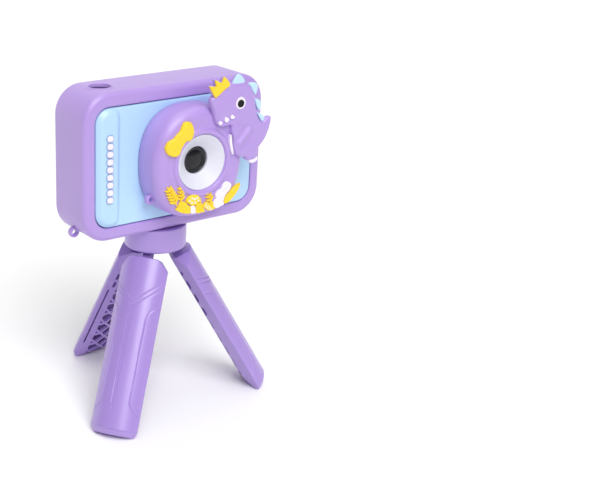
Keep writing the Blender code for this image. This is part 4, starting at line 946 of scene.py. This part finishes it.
def side_box(side, near, far, low, high, depth):
    """Block let into a flat side: near and far are distances from the tripod's axis."""
    along = Vector((cos(HALF_ANGLE), side * sin(HALF_ANGLE), 0.0))
    out = Vector((-sin(HALF_ANGLE), side * cos(HALF_ANGLE), 0.0))
    return [[tuple(along * r + out * d + Vector((0, 0, z)))
             for r, d in ((near, 1.0), (far, 1.0), (far, -depth), (near, -depth))] for z in (low, high)]


def make_leg_mesh():
    rows = np.arange(LEG_BOTTOM, LEG_TOP + 0.01, 0.3)
    rows[-1] = LEG_TOP
    outline, arc_count = sector(LEG_R, LEG_INNER, 100, 0.7)
    angles = [degrees(atan2(y, x)) for x, y in outline[:arc_count]]
    radius_mm = LEG_R * pi / 180
    flat = np.array([(a * radius_mm, z) for z in rows for a in angles])
    dent = np.zeros(len(flat))
    for line in GROOVES:
        away = edge_distance(flat, [(a * radius_mm, z) for a, z in line], closed=False)
        dent = np.maximum(dent, GROOVE_DEPTH * (1 - soft_step(away / GROOVE_HALF)))
    dent = dent.reshape(len(rows), arc_count)
    loops = []
    for row, z in enumerate(rows):
        shrink = 1.8 * max(0.0, 1 - (z - LEG_BOTTOM) / 2.9) + 0.5 * max(0.0, 1 - (LEG_TOP - z) / 0.6) ** 2
        scale = (LEG_R - shrink) / LEG_R
        loop = []
        for i, (x, y) in enumerate(outline):
            grow = scale
            if i < arc_count:
                grow = scale - dent[row, i] / LEG_R
            if hypot(x, y) < 6.0:
                grow = 1.0
            loop.append((x * grow, y * grow, z))
        loops.append(loop)
    bm = loft(loops)
    trim_leg(bm, 0.0)

    hollow_outline, _ = sector(HOLLOW_R, HOLLOW_INNER, 16, 0.6, HOLLOW_THIN)
    hollow = loft([[(x, y, z) for x, y in hollow_outline] for z in (-88.6, -14.5)])
    trim_leg(hollow, 1.5)
    bmesh.ops.reverse_faces(hollow, faces=hollow.faces)
    merged(bm, hollow)

    cutters = bmesh.new()
    for cell in lattice():
        loft([[(x, y, z) for y, z in cell] for x in (0.8, 6.9)], False, cutters)
    loft(side_box(1, 10.9, 11.75, -80.0, -37.0, 1.5), False, cutters)
    for low, high in ((-28.8, -24.6), (-34.6, -30.6)):
        loft(side_box(1, 9.0, 10.4, low, high, 2.4), False, cutters)
    bm = boolean(bm, cutters)

    lug = filleted([(PIVOT_R - 2.3, LEG_TOP - 3.0, 0), (PIVOT_R - 2.3, 2.3, 2.2), (PIVOT_R + 2.3, 2.3, 2.2),
                    (PIVOT_R + 2.3, LEG_TOP - 3.0, 0)], steps=8)
    bm = boolean(bm, loft([[(x, y, z) for x, z in lug] for y in (-2.0, 2.0)]), "UNION")
    pin = [[(PIVOT_R + x, y, z) for x, z in circle(1.3, 32)] for y in (-5.0, 5.0)]
    return boolean(bm, loft(pin))


def make_tripod():
    leg = make_leg_mesh()
    mesh = bpy.data.meshes.new("leg")
    leg.to_mesh(mesh)
    leg.free()
    for name, azimuth in LEG_AZIMUTH.items():
        bm = bmesh.new()
        bm.from_mesh(mesh)
        bm.transform(leg_frame(azimuth))
        cut_away(bm, Vector((0.0, 0.0, 0.00002)), Vector((0.0, 0.0, -1.0)))
        piece(f"{name}_leg_body", bm, Matrix.Identity(4), PLUM, f"{name}_leg",
              [f"leg_{name}"], sharp=30)
    bpy.data.meshes.remove(mesh)
    profile = filleted([(12.9, -46.4, 0.2), (14.2, -46.4, 0.5), (14.9, -45.7, 0.5), (14.9, -34.9, 0.5),
                        (3.4, -34.9, 0), (3.4, -37.3, 0), (12.9, -37.3, 0)], closed=True, steps=5)
    piece("head_body", turned_z(profile, (0.0, 0.0), 128), STAND_FRAME, PLUM, "stand",
          ["tripod_head"])


# ---- CAD nodes that stay

def repaint():
    kept = ((IVORY, "rear_cover lens_housing"), (BOARD, "image_sensor main_board"), (WRAP, "battery"),
            (DARK, "lens_barrel screen_module speaker selfie_camera memory_card"),
            (STEEL, "microphone usb_port card_slot camera_screw leg_pin_front leg_pin_right leg_pin_rear"),
            (STEEL, "cover_screw_1 cover_screw_2 cover_screw_3"), (BRASS, "tripod_nut"), (PLUM, "leg_hub"))
    for paint, names in kept:
        for name in names.split():
            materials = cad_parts[name].data.materials
            materials.clear()
            materials.append(paint)


# ---- studio

# name, azimuth, elevation, spread and power of each light
LIGHTS = (("key", -105.0, 46.0, 40.0, 0.73), ("top", 0.0, 90.0, 60.0, 0.38),
          ("back", 60.0, 35.0, 60.0, 0.15))
FILL = 0.13


def make_studio():
    """Pale floor that curves up behind, soft lights, and a world that is white to the camera."""
    mesh = bpy.data.meshes.new("floor")
    bm = bmesh.new()
    profile = filleted([(-9.0, 0.0, 0), (9.0, 0.0, 2.5), (9.0, 6.0, 0)], steps=16)
    rings = [[bm.verts.new((x, y, z)) for y, z in profile] for x in (-9.0, 9.0)]
    for i in range(len(profile) - 1):
        bm.faces.new((rings[0][i], rings[0][i + 1], rings[1][i + 1], rings[1][i]))
    bm.to_mesh(mesh)
    bm.free()
    mesh.shade_smooth()
    floor = linked("floor", mesh)
    mesh.materials.append(surface("paper", (0.96, 0.96, 0.96), 0.9, vary=0.004, patch=3.0, grain=900.0))

    world = bpy.data.worlds.new("studio")
    world.use_nodes = True
    nodes, links = world.node_tree.nodes, world.node_tree.links
    put(nodes["Background"], Color=(1.0, 1.0, 1.0, 1.0), Strength=FILL)
    backdrop = nodes.new("ShaderNodeBackground")
    put(backdrop, Color=(1.0, 1.0, 1.0, 1.0))
    path, mix = nodes.new("ShaderNodeLightPath"), nodes.new("ShaderNodeMixShader")
    links.new(path.outputs["Is Camera Ray"], mix.inputs[0])
    links.new(nodes["Background"].outputs[0], mix.inputs[1])
    links.new(backdrop.outputs[0], mix.inputs[2])
    links.new(mix.outputs[0], nodes["World Output"].inputs["Surface"])
    bpy.context.scene.world = world

    for name, azimuth, elevation, spread, power in LIGHTS:
        turn, rise = radians(azimuth), radians(elevation)
        towards = Vector((cos(turn) * cos(rise), sin(turn) * cos(rise), sin(rise)))
        light = bpy.data.lights.new(name, "SUN")
        light.angle = radians(spread)
        light.energy = power * pi
        linked(name, light).rotation_euler = towards.to_track_quat("Z", "Y").to_euler()
    bpy.context.scene.view_settings.view_transform = "Standard"


def make_camera():
    """Camera at the photograph's angle, distance and framing, as fitted to it."""
    azimuth, elevation, roll = radians(-34.73), radians(21.12), radians(1.13)
    distance, focal, wide, tall = 0.572, 1176.0, 600.0, 500.0
    aim_px = (158.3, 255.3)
    back = Vector((sin(azimuth) * cos(elevation), -cos(azimuth) * cos(elevation), sin(elevation)))
    right = Vector((0, 0, 1)).cross(back).normalized()
    up = back.cross(right)
    right, up = (cos(roll) * right + sin(roll) * up, -sin(roll) * right + cos(roll) * up)
    lens = bpy.data.cameras.new("camera")
    obj = linked("camera", lens)
    aim = ORIGIN + Vector((0.0, 0.0, -52.9)) * MM
    rotation = Matrix((right, up, back)).transposed()
    obj.matrix_world = Matrix.Translation(aim + back * distance) @ rotation.to_4x4()
    lens.sensor_width = 36.0
    lens.lens = focal * 36.0 / wide
    lens.shift_x = (wide / 2 - aim_px[0]) / wide
    lens.shift_y = (aim_px[1] - tall / 2) / wide
    lens.clip_start, lens.clip_end = 0.01, 20.0
    bpy.context.scene.camera = obj


make_camera()
make_studio()
make_sleeve()
make_front_cover()
make_hood()
make_lens()
make_figure()
make_plants()
make_back()
make_tripod()
repaint()
